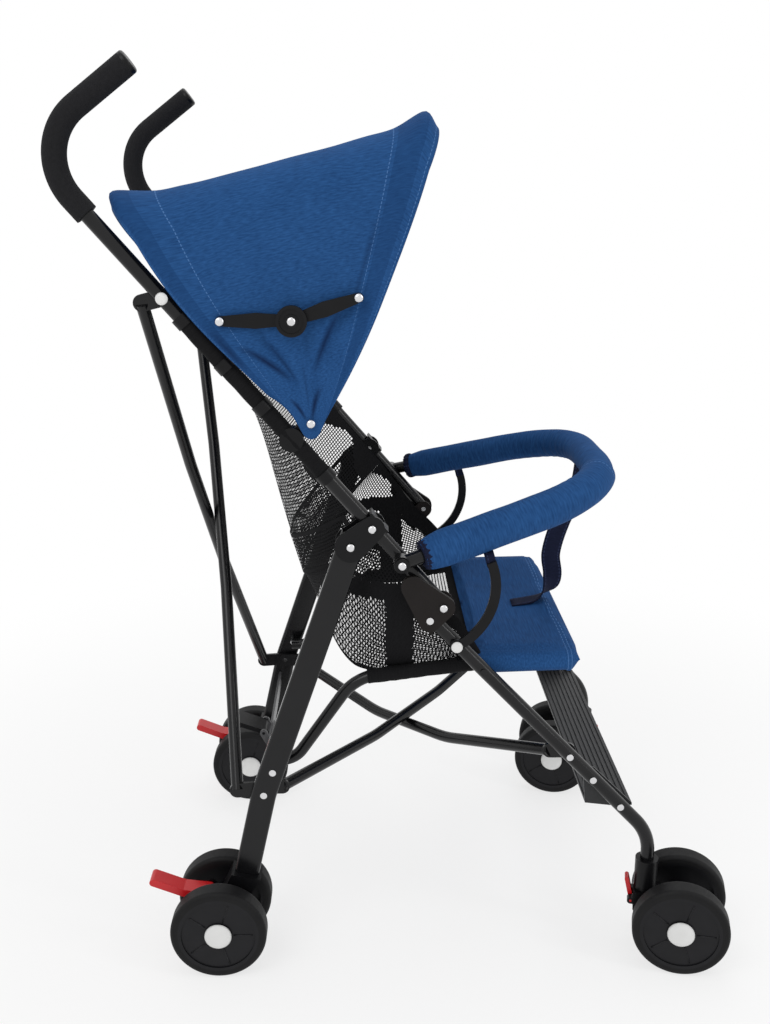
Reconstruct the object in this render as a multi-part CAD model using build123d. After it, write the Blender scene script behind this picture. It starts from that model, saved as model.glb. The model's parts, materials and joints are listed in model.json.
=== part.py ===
from build123d import *
import math
import os

# Folding umbrella stroller, in millimetres. +X is forward, +Y is the left side, +Z is up.
# Side-view points are (x, z) pairs in a drawing frame on the floor line. All solids are shifted
# along X at the end, so that the origin is under the middle of the bounding box.

# Side frames
SIDE_Y = 200.0
TUBE_D = 16.0
TUBE_WALL = 1.2
FIT = 0.15
GAP = 0.5
PLATE = 3.0
RIVET_D = 8.0
PIN_D = 6.0
HEAD_T = 1.6

# Main tube: stations run down the straight tube from the rear-cross pivot
CROSS_PIVOT = (-201.7, 780.7)
MAIN_ANGLE = 49.0
HANDLE_BEND_STATION = -194.0
HANDLE_BEND_R = 60.0
HANDLE_ANGLE = 37.0
HANDLE_LENGTH = 134.0
HOOD_STATION = 195.3
HOOD_PIVOT_RISE = 28.2
BRACKET_STATION = 324.8
BRACKET_MARGIN = 6.0
LEG_PIVOT_DROP = 31.0
BUMPER_STATION = 373.7
KNUCKLE_STATION = 444.0
MAIN_TUBE_PAST_KNUCKLE = 8.0
KNUCKLE_D = 26.0
KNUCKLE_COVER_T = 6.0
KNUCKLE_COVER_REACH = 40.0
KNUCKLE_COVER_DROP = 10.0
KNUCKLE_WRAP_T = 4.0
KNUCKLE_WRAP_END = 14.0

# Foam grips
GRIP_D = 25.0
GRIP_START_STATION = -109.4
GRIP_CAP_T = 5.0

# Front legs: stations run down the leg from the knuckle pivot
LEG_ANGLE = 46.4
LEG_DROP = 20.9
LEG_RIVET_STATION = 0.5
LEG_TOP_STATION = -12.0
ARC_STATION = 44.4
RAIL_STATION = 89.8
UNDER_CROSS_STATION = 237.5
FOOTREST_STATION = 303.0
FOOTREST_RIVET_PITCH = 49.0
FOOTREST_PLATE_STATION = 322.0
FOOTREST_PLATE_DROP = 9.0
LEG_BEND_STATION = 382.4
LEG_BEND_R = 60.0

# Wheels and casters
WHEEL_D = 112.0
WHEEL_W = 25.0
WHEEL_GAP = 48.0
TYRE_T = 9.0
TYRE_ROUND = 5.0
HUB_DISH = 16.0
HUB_BOSS_D = 24.0
HUB_CAP_SEAT_D = 32.0
HUB_RECESS = 1.5
HUB_RIM_T = 4.0
AXLE_D = 8.0
AXLE_PLAY = 0.05
FORK_W = 30.0
FORK_BOSS_D = 24.0
FORK_CAP_T = 6.0
FORK_HEEL_D = 10.0
FORK_HEEL_DROP = 22.0
CASTER_TRAIL = 42.0
SOCKET_D = 27.0
SOCKET_TOP = 121.5
SOCKET_BOTTOM = 82.0
SOCKET_WEB = 3.0
SWIVEL_PIN_D = 10.0
SWIVEL_PIN_LENGTH = 17.0
TAB_W = 12.0
TAB_LENGTH = 24.0
TAB_T = 5.0
TAB_PIVOT_DROP = 12.0
TAB_PIN_D = 3.0
TAB_LEAN = 13.0
TAB_EAR_WALL = 1.5
TAB_ROOM = 2.5
TAB_ROOM_REACH = 12.0
TAB_ROOM_FLARE = 8.0
RIGHT_CASTER_HEADING = -13.0
LEFT_CASTER_HEADING = 167.0

# Rear legs
REAR_LEG_DEPTH = 29.0
REAR_LEG_T = 14.0
REAR_LEG_WALL = 1.4
REAR_LEG_CORNER = 4.0
REAR_LEG_TOP = 12.0
REAR_JOINT = (-115.0, 214.0)
REAR_LEG_FOOT = (-141.0, 97.0)
REAR_LEG_BEND_R = 120.0
REAR_AXLE_X = -169.0
REAR_FORK_POCKET = 14.0
BRAKE_PIVOT = (-184.0, 84.0)
BRAKE_ELBOW = (-214.0, 88.0)
BRAKE_TIP = (-248.0, 102.0)
BRAKE_T = 9.0
BRAKE_W = 22.0
BRAKE_EAR_WALL = 2.0
BRAKE_ROOM = 3.0
BRAKE_ROOM_REACH = 30.0
BRAKE_ROOM_FLARE = 15.0
BRACE_Z = 182.0
BRACE_H = 20.0
BRACE_LAP = 60.0
PEDAL_LENGTH = 44.0
PEDAL_W = 34.0
PEDAL_T = 6.0
PEDAL_ANGLE = 160.0
PEDAL_RISE = 6.0
PEDAL_EAR_D = 10.0
PEDAL_PIN_D = 4.0

# Cross tubes
CROSS_D = 14.0
CROSS_TAB_T = 4.0
CROSS_TAB_R = 9.0
REAR_CROSS_REACH_TOP = (-24.0, -6.0)
REAR_CROSS_REACH_FOOT = (-32.0, -2.0)
CROSS_BEND_SHARE = 0.14
CROSS_BEND_R = 160.0
UNDER_CROSS_SAG = 28.0
UNDER_CROSS_ROOM = 4.0

# Seat rails and seat cloth
RAIL_Y = 175.0
RAIL_D = 14.0
RAIL_REAR = (-104.0, 243.0)
RAIL_RISE_X = -80.0
RAIL_BEND = (-8.4, 346.6)
RAIL_FRONT = (236.0, 367.0)
RAIL_FOOT_R = 30.0
RAIL_BEND_R = 60.0
CLOTH_T = 3.0
SEAT_SIDE_Y = 163.0
SLING_HALF_W = 186.0
SLING_TOP = 24.0
SLING_TOP_DEPTH = 8.0
SLING_UPPER = 102.0
SLING_UPPER_DEPTH = 21.0
SLING_MIDDLE = 178.0
SLING_MIDDLE_DEPTH = 50.0
SLING_LOWER = 262.0
SLING_LOWER_DEPTH = 92.0
SLING_FOOT = 346.0
SLING_FOOT_DEPTH = 132.0
SLING_SHOULDER = (0.62, 0.62)
SLING_FLOOR = (0.25, 0.97)
SEAT_REAR = (-66.0, 422.0)
SEAT_REAR_HALF_W = 105.0
SEAT_CREASE = (-2.0, 350.0)
SEAT_CREASE_HALF_W = 140.0
SEAT_SAG = 12.0
SEAT_SIDE_TOP = 354.0
SEAT_SIDE_DROP = 14.0
SEAT_SIDE_REAR_DROP = 70.0
FLAP_START_X = 128.0
FLAP_T = 8.0

# Footrest
FOOTREST_DEPTH = 56.0
FOOTREST_T = 3.0
FOOTREST_RIB = 1.6
FOOTREST_RIB_COUNT = 9
FOOTREST_TILT = 4.0

# Bumper bar
BUMPER_Y = 217.0
BUMPER_ANGLE = 15.0
BUMPER_REACH = 251.0
BUMPER_FRONT_HALF_W = 138.0
BUMPER_CORNER_R = 140.0
BUMPER_PAD_D = 40.0
BUMPER_PAD_START = 23.0
BUMPER_PAD_TAPER = 22.0
BUMPER_PAD_END_D = 24.0
ARC_W = 11.0
ARC_T = 4.0
ARC_TOP_REACH = 98.0
ARC_TOP_DROP = 2.0
ARC_BULGE = 20.0
ARC_CAP_D = 12.0

# Hood
HOOD_OVERHANG = 13.0
HOOD_REAR_LENGTH = 302.0
HOOD_FRONT_LENGTH = 328.0
HOOD_REAR_ANGLE = 130.4
HOOD_FRONT_ANGLE = 68.7
HOOD_CORNER_R = 45.0
HOOD_CLOTH_T = 2.5
HOOD_FOOT = 14.0
BOW_D = 7.0
BOW_START = 40.0
BOW_EYE_LENGTH = 46.0
BOW_EYE_W = 9.0
BOW_EYE_T = 2.2
HOOD_CLIP_D = 26.0
HOOD_CLIP_W = 18.0
HOOD_EAR_D = 14.0
HOOD_EAR_T = 6.0
STAY_REAR_REACH = 140.0
STAY_FRONT_REACH = 140.0
STAY_KNOB_REACH = 109.0
STAY_KNOB_ANGLE = 99.2
STAY_END_W = 10.0
STAY_MIDDLE_W = 16.0
STAY_T = 3.0
STAY_KNOB_D = 32.0
STAY_KNOB_T = 8.0
KNOB_GROOVE_D = 25.0
KNOB_BOSS_D = 14.0
KNOB_GROOVE_DEPTH = 1.5

# Clips that hold the seat cloth on the main tubes
CLIP_TOP_STATION = 30.0
CLIP_UPPER_STATION = 92.0
CLIP_LOWER_STATION = 150.0
CLIP_FOOT_STATION = 250.0
CLIP_W = 12.0
CLIP_T = 2.5

RIGHT = -1
LEFT = 1
SIDES = {"right": RIGHT, "left": LEFT}


def ahead(angle, length):
    """An (x, z) step of a length at an angle above the forward direction."""
    return (length * math.cos(math.radians(angle)), length * math.sin(math.radians(angle)))


def plus(*points):
    return (sum(p[0] for p in points), sum(p[1] for p in points))


def main_point(station, rise=0.0):
    """A point beside the main tube: rise is square to it, forward and up."""
    return plus(CROSS_PIVOT, ahead(-MAIN_ANGLE, station), ahead(90 - MAIN_ANGLE, rise))


def leg_point(station, rise=0.0):
    """A point beside the front leg's centre line."""
    return plus(KNUCKLE, ahead(-LEG_ANGLE, station), ahead(90 - LEG_ANGLE, rise - LEG_DROP))


def at(point, y):
    return Vector(point[0], y, point[1])


def between(a, b, share):
    return (a[0] + (b[0] - a[0]) * share, a[1] + (b[1] - a[1]) * share)


KNUCKLE = main_point(KNUCKLE_STATION)
LEG_PIVOT = main_point(BRACKET_STATION, -LEG_PIVOT_DROP)
BUMPER_PIVOT = main_point(BUMPER_STATION)
HOOD_PIVOT = main_point(HOOD_STATION, HOOD_PIVOT_RISE)
ARC_PIVOT = leg_point(ARC_STATION)
RAIL_PIVOT = leg_point(RAIL_STATION)
UNDER_CROSS_PIVOT = leg_point(UNDER_CROSS_STATION)
CASTER_X = leg_point(LEG_BEND_STATION)[0]
AXLE_Z = WHEEL_D / 2
REAR_AXLE = (REAR_AXLE_X, AXLE_Z)
TUBE_FACE = TUBE_D / 2 + GAP
HOOD_HALF_W = SIDE_Y + HOOD_OVERHANG


def side_plane(y):
    """Drawing plane at a given y: sketch x is +X, sketch y is +Z, and it faces -Y."""
    return Plane(origin=(0, y, 0), x_dir=(1, 0, 0), z_dir=(0, -1, 0))


def side_plate(sketch, y_a, y_b):
    return extrude(side_plane(max(y_a, y_b)) * sketch, amount=abs(y_b - y_a))


def disc(point, diameter):
    return Pos(point[0], point[1]) * Circle(diameter / 2)


def pin(point, y_a, y_b, diameter):
    return side_plate(disc(point, diameter), y_a, y_b)


def capsule(a, b, width):
    length = math.dist(a, b)
    angle = math.degrees(math.atan2(b[1] - a[1], b[0] - a[0]))
    middle = between(a, b, 0.5)
    return Pos(*middle) * Rot(0, 0, angle) * SlotCenterToCenter(length, width)


def hull(*shapes):
    edges = []
    for shape in shapes:
        edges += shape.edges()
    return make_hull(edges)


def polygon(*points):
    return make_face(Polyline(*points, close=True))


def bent(points, radius):
    """A path of straight runs joined by tangent arcs."""
    if len(points) == 2:
        return Line(*points)
    return FilletPolyline(*points, radius=radius)


def round_bar(points, radius, diameter, wall=0.0):
    """A round bar along a bent path, or a tube if it has a wall."""
    path = bent(points, radius)
    plane = Plane(origin=path @ 0, z_dir=path % 0)
    section = plane * Circle(diameter / 2)
    if wall:
        section -= plane * Circle(diameter / 2 - wall)
    return sweep(section, path=path)


def both(make):
    """The same piece on both sides, as one group."""
    return Compound(children=[make(side) for side in SIDES.values()])


def group(*solids):
    return Compound(children=list(solids))


# Handle tubes and grips
HANDLE_CORNER = main_point(HANDLE_BEND_STATION)
HANDLE_TIP = plus(HANDLE_CORNER, ahead(HANDLE_ANGLE, HANDLE_LENGTH))
TUBE_TIP = plus(HANDLE_CORNER, ahead(HANDLE_ANGLE, HANDLE_LENGTH - GRIP_CAP_T))


def main_tube(side):
    low = main_point(KNUCKLE_STATION + MAIN_TUBE_PAST_KNUCKLE)
    y = side * SIDE_Y
    tube = round_bar([at(low, y), at(HANDLE_CORNER, y), at(TUBE_TIP, y)], HANDLE_BEND_R, TUBE_D, TUBE_WALL)
    for station in (0.0, BRACKET_STATION, BUMPER_STATION, KNUCKLE_STATION):
        tube -= pin(main_point(station), y - TUBE_D, y + TUBE_D, PIN_D + 2 * AXLE_PLAY)
    return tube


def handle_grip(side):
    y = side * SIDE_Y
    start = main_point(GRIP_START_STATION)
    points = [at(start, y), at(HANDLE_CORNER, y), at(TUBE_TIP, y)]
    return round_bar(points, HANDLE_BEND_R, GRIP_D, (GRIP_D - TUBE_D) / 2 - FIT)


def grip_cap(side):
    y = side * SIDE_Y
    back = plus(HANDLE_TIP, ahead(HANDLE_ANGLE, -GRIP_CAP_T))
    cap = round_bar([at(back, y), at(HANDLE_TIP, y)], 0, GRIP_D)
    rim = cap.edges().filter_by(GeomType.CIRCLE).sort_by(Axis.X)[-1]
    return fillet(rim, GRIP_CAP_T * 0.6)


# Rear legs, their brackets and the lock brace
def rear_leg_path(side):
    y = side * SIDE_Y
    upward = math.degrees(math.atan2(LEG_PIVOT[1] - REAR_JOINT[1], LEG_PIVOT[0] - REAR_JOINT[0]))
    top = plus(LEG_PIVOT, ahead(upward, REAR_LEG_TOP))
    return bent([at(top, y), at(REAR_JOINT, y), at(REAR_LEG_FOOT, y)], REAR_LEG_BEND_R)


def rear_leg_bar(side, grow, corner):
    path = rear_leg_path(side)
    plane = Plane(origin=path @ 0, x_dir=(0, 1, 0), z_dir=path % 0)
    return sweep(plane * RectangleRounded(REAR_LEG_T + grow, REAR_LEG_DEPTH + grow, corner), path=path)


def rear_leg(side):
    y = side * SIDE_Y
    leg = rear_leg_bar(side, 0.0, REAR_LEG_CORNER)
    leg -= rear_leg_bar(side, -2 * REAR_LEG_WALL, REAR_LEG_CORNER - REAR_LEG_WALL)
    hole = PIN_D + 2 * AXLE_PLAY
    for point in (LEG_PIVOT, REAR_JOINT, RAIL_REAR):
        leg -= pin(point, y - REAR_LEG_T, y + REAR_LEG_T, hole)
    return leg


def rear_leg_bracket(side):
    """Two cheeks round the main tube and the leg's top, joined by a saddle over the tube."""
    y = side * SIDE_Y
    rivet = main_point(BRACKET_STATION)
    along = TUBE_D + 2 * BRACKET_MARGIN
    outline = hull(disc(LEG_PIVOT, REAR_LEG_DEPTH + BRACKET_MARGIN), disc(rivet, along))
    cheeks = []
    for face in (-1, 1):
        inner = y + face * TUBE_FACE
        cheek = side_plate(outline, inner, inner + face * PLATE)
        cheek -= pin(LEG_PIVOT, inner - face * PLATE, inner + 2 * face * PLATE, PIN_D + 2 * AXLE_PLAY)
        cheek -= pin(rivet, inner - face * PLATE, inner + 2 * face * PLATE, PIN_D + 2 * AXLE_PLAY)
        cheeks.append(cheek)
    low = main_point(BRACKET_STATION + along / 2, TUBE_FACE)
    high = main_point(BRACKET_STATION - along / 2, TUBE_FACE)
    low_out = main_point(BRACKET_STATION + along / 2, TUBE_FACE + PLATE)
    high_out = main_point(BRACKET_STATION - along / 2, TUBE_FACE + PLATE)
    reach = TUBE_FACE + PLATE
    saddle = side_plate(polygon(low, high, high_out, low_out), y - reach, y + reach)
    return cheeks[0] + cheeks[1] + saddle


def rear_fork(side):
    """Moulded foot of the rear leg: pocket for the leg, axle boss and two ears for the brake."""
    y = side * SIDE_Y
    run = bent([at(REAR_JOINT, y), at(REAR_LEG_FOOT, y)], 0)
    lean = math.degrees(math.atan2(REAR_JOINT[1] - REAR_LEG_FOOT[1], REAR_JOINT[0] - REAR_LEG_FOOT[0]))
    rim = plus(REAR_LEG_FOOT, ahead(lean, REAR_FORK_POCKET))
    half = REAR_LEG_DEPTH / 2 + PLATE
    left = plus(rim, ahead(lean + 90, half))
    right = plus(rim, ahead(lean - 90, half))
    body = side_plate(hull(polygon(left, right, REAR_LEG_FOOT), disc(REAR_AXLE, FORK_BOSS_D)),
                      y - FORK_W / 2, y + FORK_W / 2)
    ear = hull(disc(BRAKE_PIVOT, BRAKE_T + 2 * BRAKE_EAR_WALL), disc(REAR_AXLE, FORK_BOSS_D))
    body += side_plate(ear, y - FORK_W / 2, y + FORK_W / 2)
    body += pin(REAR_AXLE, y - WHEEL_GAP / 2 + GAP, y + WHEEL_GAP / 2 - GAP, FORK_BOSS_D)
    behind = plus(BRAKE_PIVOT, (-BRAKE_ROOM_REACH, 0))
    slot = hull(disc(BRAKE_PIVOT, BRAKE_T + 2 * BRAKE_ROOM), disc(behind, BRAKE_T + 2 * BRAKE_ROOM_FLARE))
    body -= side_plate(slot, y - BRAKE_W / 2 - GAP, y + BRAKE_W / 2 + GAP)
    body -= pin(BRAKE_PIVOT, y - FORK_W, y + FORK_W, PIN_D + 2 * AXLE_PLAY)
    body -= pin(REAR_AXLE, y - WHEEL_GAP, y + WHEEL_GAP, AXLE_D + 2 * AXLE_PLAY)
    pocket = Plane(origin=run @ 1, x_dir=(0, 1, 0), z_dir=-(run % 1))
    mouth = RectangleRounded(REAR_LEG_T + 2 * FIT, REAR_LEG_DEPTH + 2 * FIT, REAR_LEG_CORNER)
    return body - extrude(pocket * mouth, amount=REAR_FORK_POCKET * 2)


def rear_pins(side):
    """Rivets that stay with the rear leg: the cross rivet, the rail's stub and the brake pin."""
    y = side * SIDE_Y
    cross_rivet = pin(REAR_JOINT, y - REAR_LEG_T / 2, y + REAR_LEG_T / 2, PIN_D)
    outer = y + side * REAR_LEG_T / 2
    cross_rivet += pin(REAR_JOINT, outer, outer + side * HEAD_T, RIVET_D)
    rail_stub = pin(RAIL_REAR, side * (RAIL_Y + RAIL_D / 2 + GAP), outer, PIN_D)
    rail_stub += pin(RAIL_REAR, outer, outer + side * HEAD_T, RIVET_D)
    brake_pin = pin(BRAKE_PIVOT, y - FORK_W / 2, y + FORK_W / 2, PIN_D)
    return [cross_rivet, rail_stub, brake_pin]


BRACE_SHARE = (BRACE_Z - REAR_LEG_FOOT[1]) / (REAR_JOINT[1] - REAR_LEG_FOOT[1])
BRACE_X = between(REAR_LEG_FOOT, REAR_JOINT, BRACE_SHARE)[0]
BRACE_REAR_FACE = BRACE_X - GAP / 2 - PLATE
PEDAL_HINGE = (BRACE_REAR_FACE - PEDAL_EAR_D / 2 - GAP, BRACE_Z + BRACE_H / 2 + PEDAL_RISE)


def pedal_ear(side):
    """Lug on the rear bar that carries one end of the pedal's pin."""
    low = BRACE_Z - BRACE_H / 4
    high = BRACE_Z + BRACE_H / 2
    middle = BRACE_REAR_FACE + PLATE / 2
    root = polygon((BRACE_REAR_FACE, low), (middle, low), (middle, high), (BRACE_REAR_FACE, high))
    face = side * (PEDAL_W / 2 + GAP)
    ear = side_plate(hull(disc(PEDAL_HINGE, PEDAL_EAR_D), root), face, face + side * PLATE)
    return ear - pin(PEDAL_HINGE, face - side * PLATE, face + 2 * side * PLATE, PEDAL_PIN_D + 2 * AXLE_PLAY)


def brace_bar(side):
    """One flat bar of the rear lock brace, from a leg's inner face past the middle."""
    leg_face = side * (SIDE_Y - REAR_LEG_T / 2 - FIT)
    lap = -side * BRACE_LAP / 2
    x = BRACE_X - side * (PLATE / 2 + GAP / 2)
    bar = Pos(x, (leg_face + lap) / 2, BRACE_Z) * Box(PLATE, abs(leg_face - lap), BRACE_H)
    bar -= Pos(x, 0, BRACE_Z) * Rot(0, 90, 0) * Cylinder(PIN_D / 2 + AXLE_PLAY, PLATE * 3)
    if side == LEFT:
        bar += pedal_ear(LEFT) + pedal_ear(RIGHT)
    return bar


def brace_pin():
    reach = 2 * PLATE + GAP
    shank = Rot(0, 90, 0) * Cylinder(PIN_D / 2, reach + 2 * HEAD_T)
    head = Rot(0, 90, 0) * Cylinder(RIVET_D / 2, HEAD_T)
    offset = reach / 2 + HEAD_T / 2 + GAP / 4
    solid = shank + Pos(offset, 0, 0) * head + Pos(-offset, 0, 0) * head
    return Pos(BRACE_X, 0, BRACE_Z) * solid


def lock_pedal():
    """Foot pedal that trips the brace, on a cross pin behind the rear bar."""
    end = plus(PEDAL_HINGE, ahead(PEDAL_ANGLE, PEDAL_LENGTH))
    pedal = side_plate(capsule(PEDAL_HINGE, end, PEDAL_T), -PEDAL_W / 2, PEDAL_W / 2)
    reach = PEDAL_W / 2 + GAP + PLATE
    return pedal + pin(PEDAL_HINGE, -reach, reach, PEDAL_PIN_D)


# Front legs, knuckles, footrest and caster sockets
def front_leg(side):
    y = side * SIDE_Y
    foot = (CASTER_X, SOCKET_BOTTOM + SWIVEL_PIN_LENGTH + SOCKET_WEB)
    points = [at(leg_point(LEG_TOP_STATION), y), at(leg_point(LEG_BEND_STATION), y), at(foot, y)]
    leg = round_bar(points, LEG_BEND_R, TUBE_D, TUBE_WALL)
    stations = [LEG_RIVET_STATION, ARC_STATION, RAIL_STATION, UNDER_CROSS_STATION]
    stations += [FOOTREST_STATION - FOOTREST_RIVET_PITCH / 2, FOOTREST_STATION + FOOTREST_RIVET_PITCH / 2]
    for station in stations:
        leg -= pin(leg_point(station), y - TUBE_D, y + TUBE_D, PIN_D + 2 * AXLE_PLAY)
    return leg


def knuckle(side):
    """Moulded link at the leg's top: an outer cover and an inner cheek round the leg's end."""
    y = side * SIDE_Y
    leg_rivet = leg_point(LEG_RIVET_STATION)
    cover_top = main_point(KNUCKLE_STATION - KNUCKLE_COVER_REACH, -KNUCKLE_COVER_DROP)
    cover = hull(disc(cover_top, KNUCKLE_D), disc(KNUCKLE, KNUCKLE_D), disc(leg_rivet, KNUCKLE_D))
    cheek = hull(disc(KNUCKLE, KNUCKLE_D - PLATE), disc(leg_rivet, KNUCKLE_D - PLATE))
    outer = y + side * TUBE_FACE
    inner = y - side * TUBE_FACE
    body = side_plate(cover, outer, outer + side * KNUCKLE_COVER_T)
    body += side_plate(cheek, inner, inner - side * PLATE)
    below = -TUBE_D / 2 - KNUCKLE_WRAP_T / 2
    wrap = capsule(leg_point(LEG_TOP_STATION, below), leg_point(KNUCKLE_WRAP_END, below), KNUCKLE_WRAP_T)
    body += side_plate(wrap, outer, inner)
    for point in (KNUCKLE, leg_rivet):
        body -= pin(point, y - TUBE_D, y + TUBE_D, PIN_D + 2 * AXLE_PLAY)
    above = at(leg_point(LEG_TOP_STATION - KNUCKLE_D), y)
    under = at(leg_point(KNUCKLE_WRAP_END + KNUCKLE_D), y)
    path = bent([above, under], 0)
    clear = Plane(origin=path @ 0, z_dir=path % 0) * Circle(TUBE_D / 2 + FIT)
    return body - sweep(clear, path=path)


def rivet(point, inner, outer, side):
    """A rivet through one side frame, from |y| inner to |y| outer, with its head outside."""
    face = side * outer
    return pin(point, side * inner, face, PIN_D) + pin(point, face, face + side * HEAD_T, RIVET_D)


def front_rivets(side):
    """Rivets that stay with the front leg: leg top, cross pivot and footrest."""
    cheek_face = SIDE_Y - TUBE_FACE - PLATE
    solids = [rivet(leg_point(LEG_RIVET_STATION), cheek_face, SIDE_Y + TUBE_FACE + KNUCKLE_COVER_T, side)]
    solids.append(rivet(UNDER_CROSS_PIVOT, MAIN_TAB_Y - CROSS_TAB_T, SIDE_Y + TUBE_D / 2, side))
    for offset in (-0.5, 0.5):
        point = leg_point(FOOTREST_STATION + offset * FOOTREST_RIVET_PITCH)
        solids.append(rivet(point, cheek_face, SIDE_Y + TUBE_D / 2, side))
    return solids


FOOTREST_MID = leg_point(FOOTREST_PLATE_STATION, -FOOTREST_PLATE_DROP)
FOOTREST_EDGE = SIDE_Y - TUBE_D / 2 - GAP


def footrest():
    """Ribbed plate between the legs, with a turned-up flange along each leg."""
    half = FOOTREST_DEPTH / 2
    along = ahead(-FOOTREST_TILT, 1.0)
    rear = plus(FOOTREST_MID, (-half * along[0], -half * along[1]))
    front = plus(FOOTREST_MID, (half * along[0], half * along[1]))
    down = (0.0, -FOOTREST_T)
    plate = polygon(rear, front, plus(front, down), plus(rear, down))
    sheet = side_plate(plate, -FOOTREST_EDGE, FOOTREST_EDGE)
    pitch = FOOTREST_DEPTH / FOOTREST_RIB_COUNT
    for index in range(FOOTREST_RIB_COUNT):
        middle = between(rear, front, (index + 0.5) / FOOTREST_RIB_COUNT)
        a = plus(middle, (-pitch / 4, 0))
        b = plus(middle, (pitch / 4, 0))
        rib = polygon(plus(a, (0, -FOOTREST_T / 2)), plus(b, (0, -FOOTREST_T / 2)),
                      plus(b, (0, FOOTREST_RIB)), plus(a, (0, FOOTREST_RIB)))
        inset = FOOTREST_EDGE - PLATE * 2
        sheet += side_plate(rib, -inset, inset)
    low = leg_point(FOOTREST_STATION + FOOTREST_RIVET_PITCH / 2)
    high = leg_point(FOOTREST_STATION - FOOTREST_RIVET_PITCH / 2)
    flange = hull(disc(low, TUBE_D), disc(high, TUBE_D), polygon(rear, front, plus(rear, down)))
    for side in SIDES.values():
        edge = side * FOOTREST_EDGE
        sheet += side_plate(flange, edge, edge - side * PLATE)
        for point in (low, high):
            sheet -= pin(point, edge - side * PLATE * 2, edge + side * PLATE, PIN_D + 2 * AXLE_PLAY)
    return sheet


def caster_socket(side):
    y = side * SIDE_Y
    height = SOCKET_TOP - SOCKET_BOTTOM
    body = Pos(CASTER_X, y, SOCKET_BOTTOM + height / 2) * Cylinder(SOCKET_D / 2, height)
    leg_foot = SOCKET_BOTTOM + SWIVEL_PIN_LENGTH + SOCKET_WEB
    body -= Pos(CASTER_X, y, leg_foot + height / 2) * Cylinder(TUBE_D / 2 + FIT, height)
    bore = SWIVEL_PIN_LENGTH + GAP
    body -= Pos(CASTER_X, y, SOCKET_BOTTOM + bore / 2) * Cylinder(SWIVEL_PIN_D / 2 + AXLE_PLAY, bore)
    return body


# A caster is drawn about its swivel axis with its wheels ahead, then turned to its heading
def caster_place(side):
    heading = RIGHT_CASTER_HEADING if side == RIGHT else LEFT_CASTER_HEADING
    return Pos(CASTER_X, side * SIDE_Y, 0) * Rot(0, 0, heading)


CASTER_AXLE = (CASTER_TRAIL, AXLE_Z)
FORK_TOP = SOCKET_BOTTOM - GAP
TAB_PIVOT = (-SOCKET_D / 2 - TAB_T / 2 - GAP, FORK_TOP - TAB_PIVOT_DROP)


def caster_fork(side):
    half = SOCKET_D / 2
    low = FORK_TOP - FORK_CAP_T
    top = polygon((-half, FORK_TOP), (half, FORK_TOP), (half, low), (-half, low))
    heel = disc((FORK_HEEL_D / 2 - half, FORK_TOP - FORK_HEEL_DROP), FORK_HEEL_D)
    profile = hull(top, disc(CASTER_AXLE, FORK_BOSS_D), heel)
    body = side_plate(profile, -FORK_W / 2, FORK_W / 2)
    ear_d = TAB_T + 2 * TAB_EAR_WALL
    ear = hull(disc(TAB_PIVOT, ear_d), disc((0, FORK_TOP - TAB_PIVOT_DROP), ear_d))
    body += side_plate(ear, -FORK_W / 2, FORK_W / 2)
    behind = plus(TAB_PIVOT, (-TAB_ROOM_REACH, 0))
    room = hull(disc(TAB_PIVOT, TAB_T + 2 * TAB_ROOM), disc(behind, TAB_T + 2 * TAB_ROOM_FLARE))
    body -= side_plate(room, -TAB_W / 2 - GAP, TAB_W / 2 + GAP)
    body += pin(CASTER_AXLE, -WHEEL_GAP / 2 + GAP, WHEEL_GAP / 2 - GAP, FORK_BOSS_D)
    body -= pin(CASTER_AXLE, -WHEEL_GAP, WHEEL_GAP, AXLE_D + 2 * AXLE_PLAY)
    body -= pin(TAB_PIVOT, -FORK_W, FORK_W, TAB_PIN_D + 2 * AXLE_PLAY)
    pin_z = FORK_TOP + SWIVEL_PIN_LENGTH / 2
    body += Pos(0, 0, pin_z) * Cylinder(SWIVEL_PIN_D / 2, SWIVEL_PIN_LENGTH)
    return caster_place(side) * body


def swivel_lock(side):
    """Small tab with its own cross pin, standing behind the socket."""
    end = plus(TAB_PIVOT, ahead(90 + TAB_LEAN, TAB_LENGTH))
    body = side_plate(capsule(TAB_PIVOT, end, TAB_T), -TAB_W / 2, TAB_W / 2)
    body += pin(TAB_PIVOT, -FORK_W / 2, FORK_W / 2, TAB_PIN_D)
    return caster_place(side) * body


def wheel_pair(place, axle):
    """Two hubs, two tyres and their axle, for an axle at an (x, z) point of a placed frame."""
    hubs = []
    tyres = []
    core_r = WHEEL_D / 2 - TYRE_T
    for face in (-1, 1):
        y_in = face * WHEEL_GAP / 2
        y_out = face * (WHEEL_GAP / 2 + WHEEL_W)
        tyre = pin(axle, y_in, y_out, WHEEL_D)
        tyre = fillet(tyre.edges(), TYRE_ROUND)
        tyres.append(place * (tyre - pin(axle, y_in, y_out, 2 * core_r)))
        hub = pin(axle, y_in + face, y_out, 2 * core_r)
        dish = pin(axle, y_in, y_in + face * HUB_DISH, 2 * (core_r - HUB_RIM_T))
        dish -= pin(axle, y_in, y_in + face * HUB_DISH, HUB_BOSS_D)
        recess = pin(axle, y_out - face * HUB_RECESS, y_out, 2 * (core_r - HUB_RIM_T))
        recess -= pin(axle, y_out - face * HUB_RECESS, y_out, HUB_CAP_SEAT_D)
        hub = hub - dish - recess
        hubs.append(place * (hub - pin(axle, y_in, y_in + face * HUB_DISH, AXLE_D)))
    reach = WHEEL_GAP / 2 + HUB_DISH
    return group(*hubs), group(*tyres), place * pin(axle, -reach, reach, AXLE_D)


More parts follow.
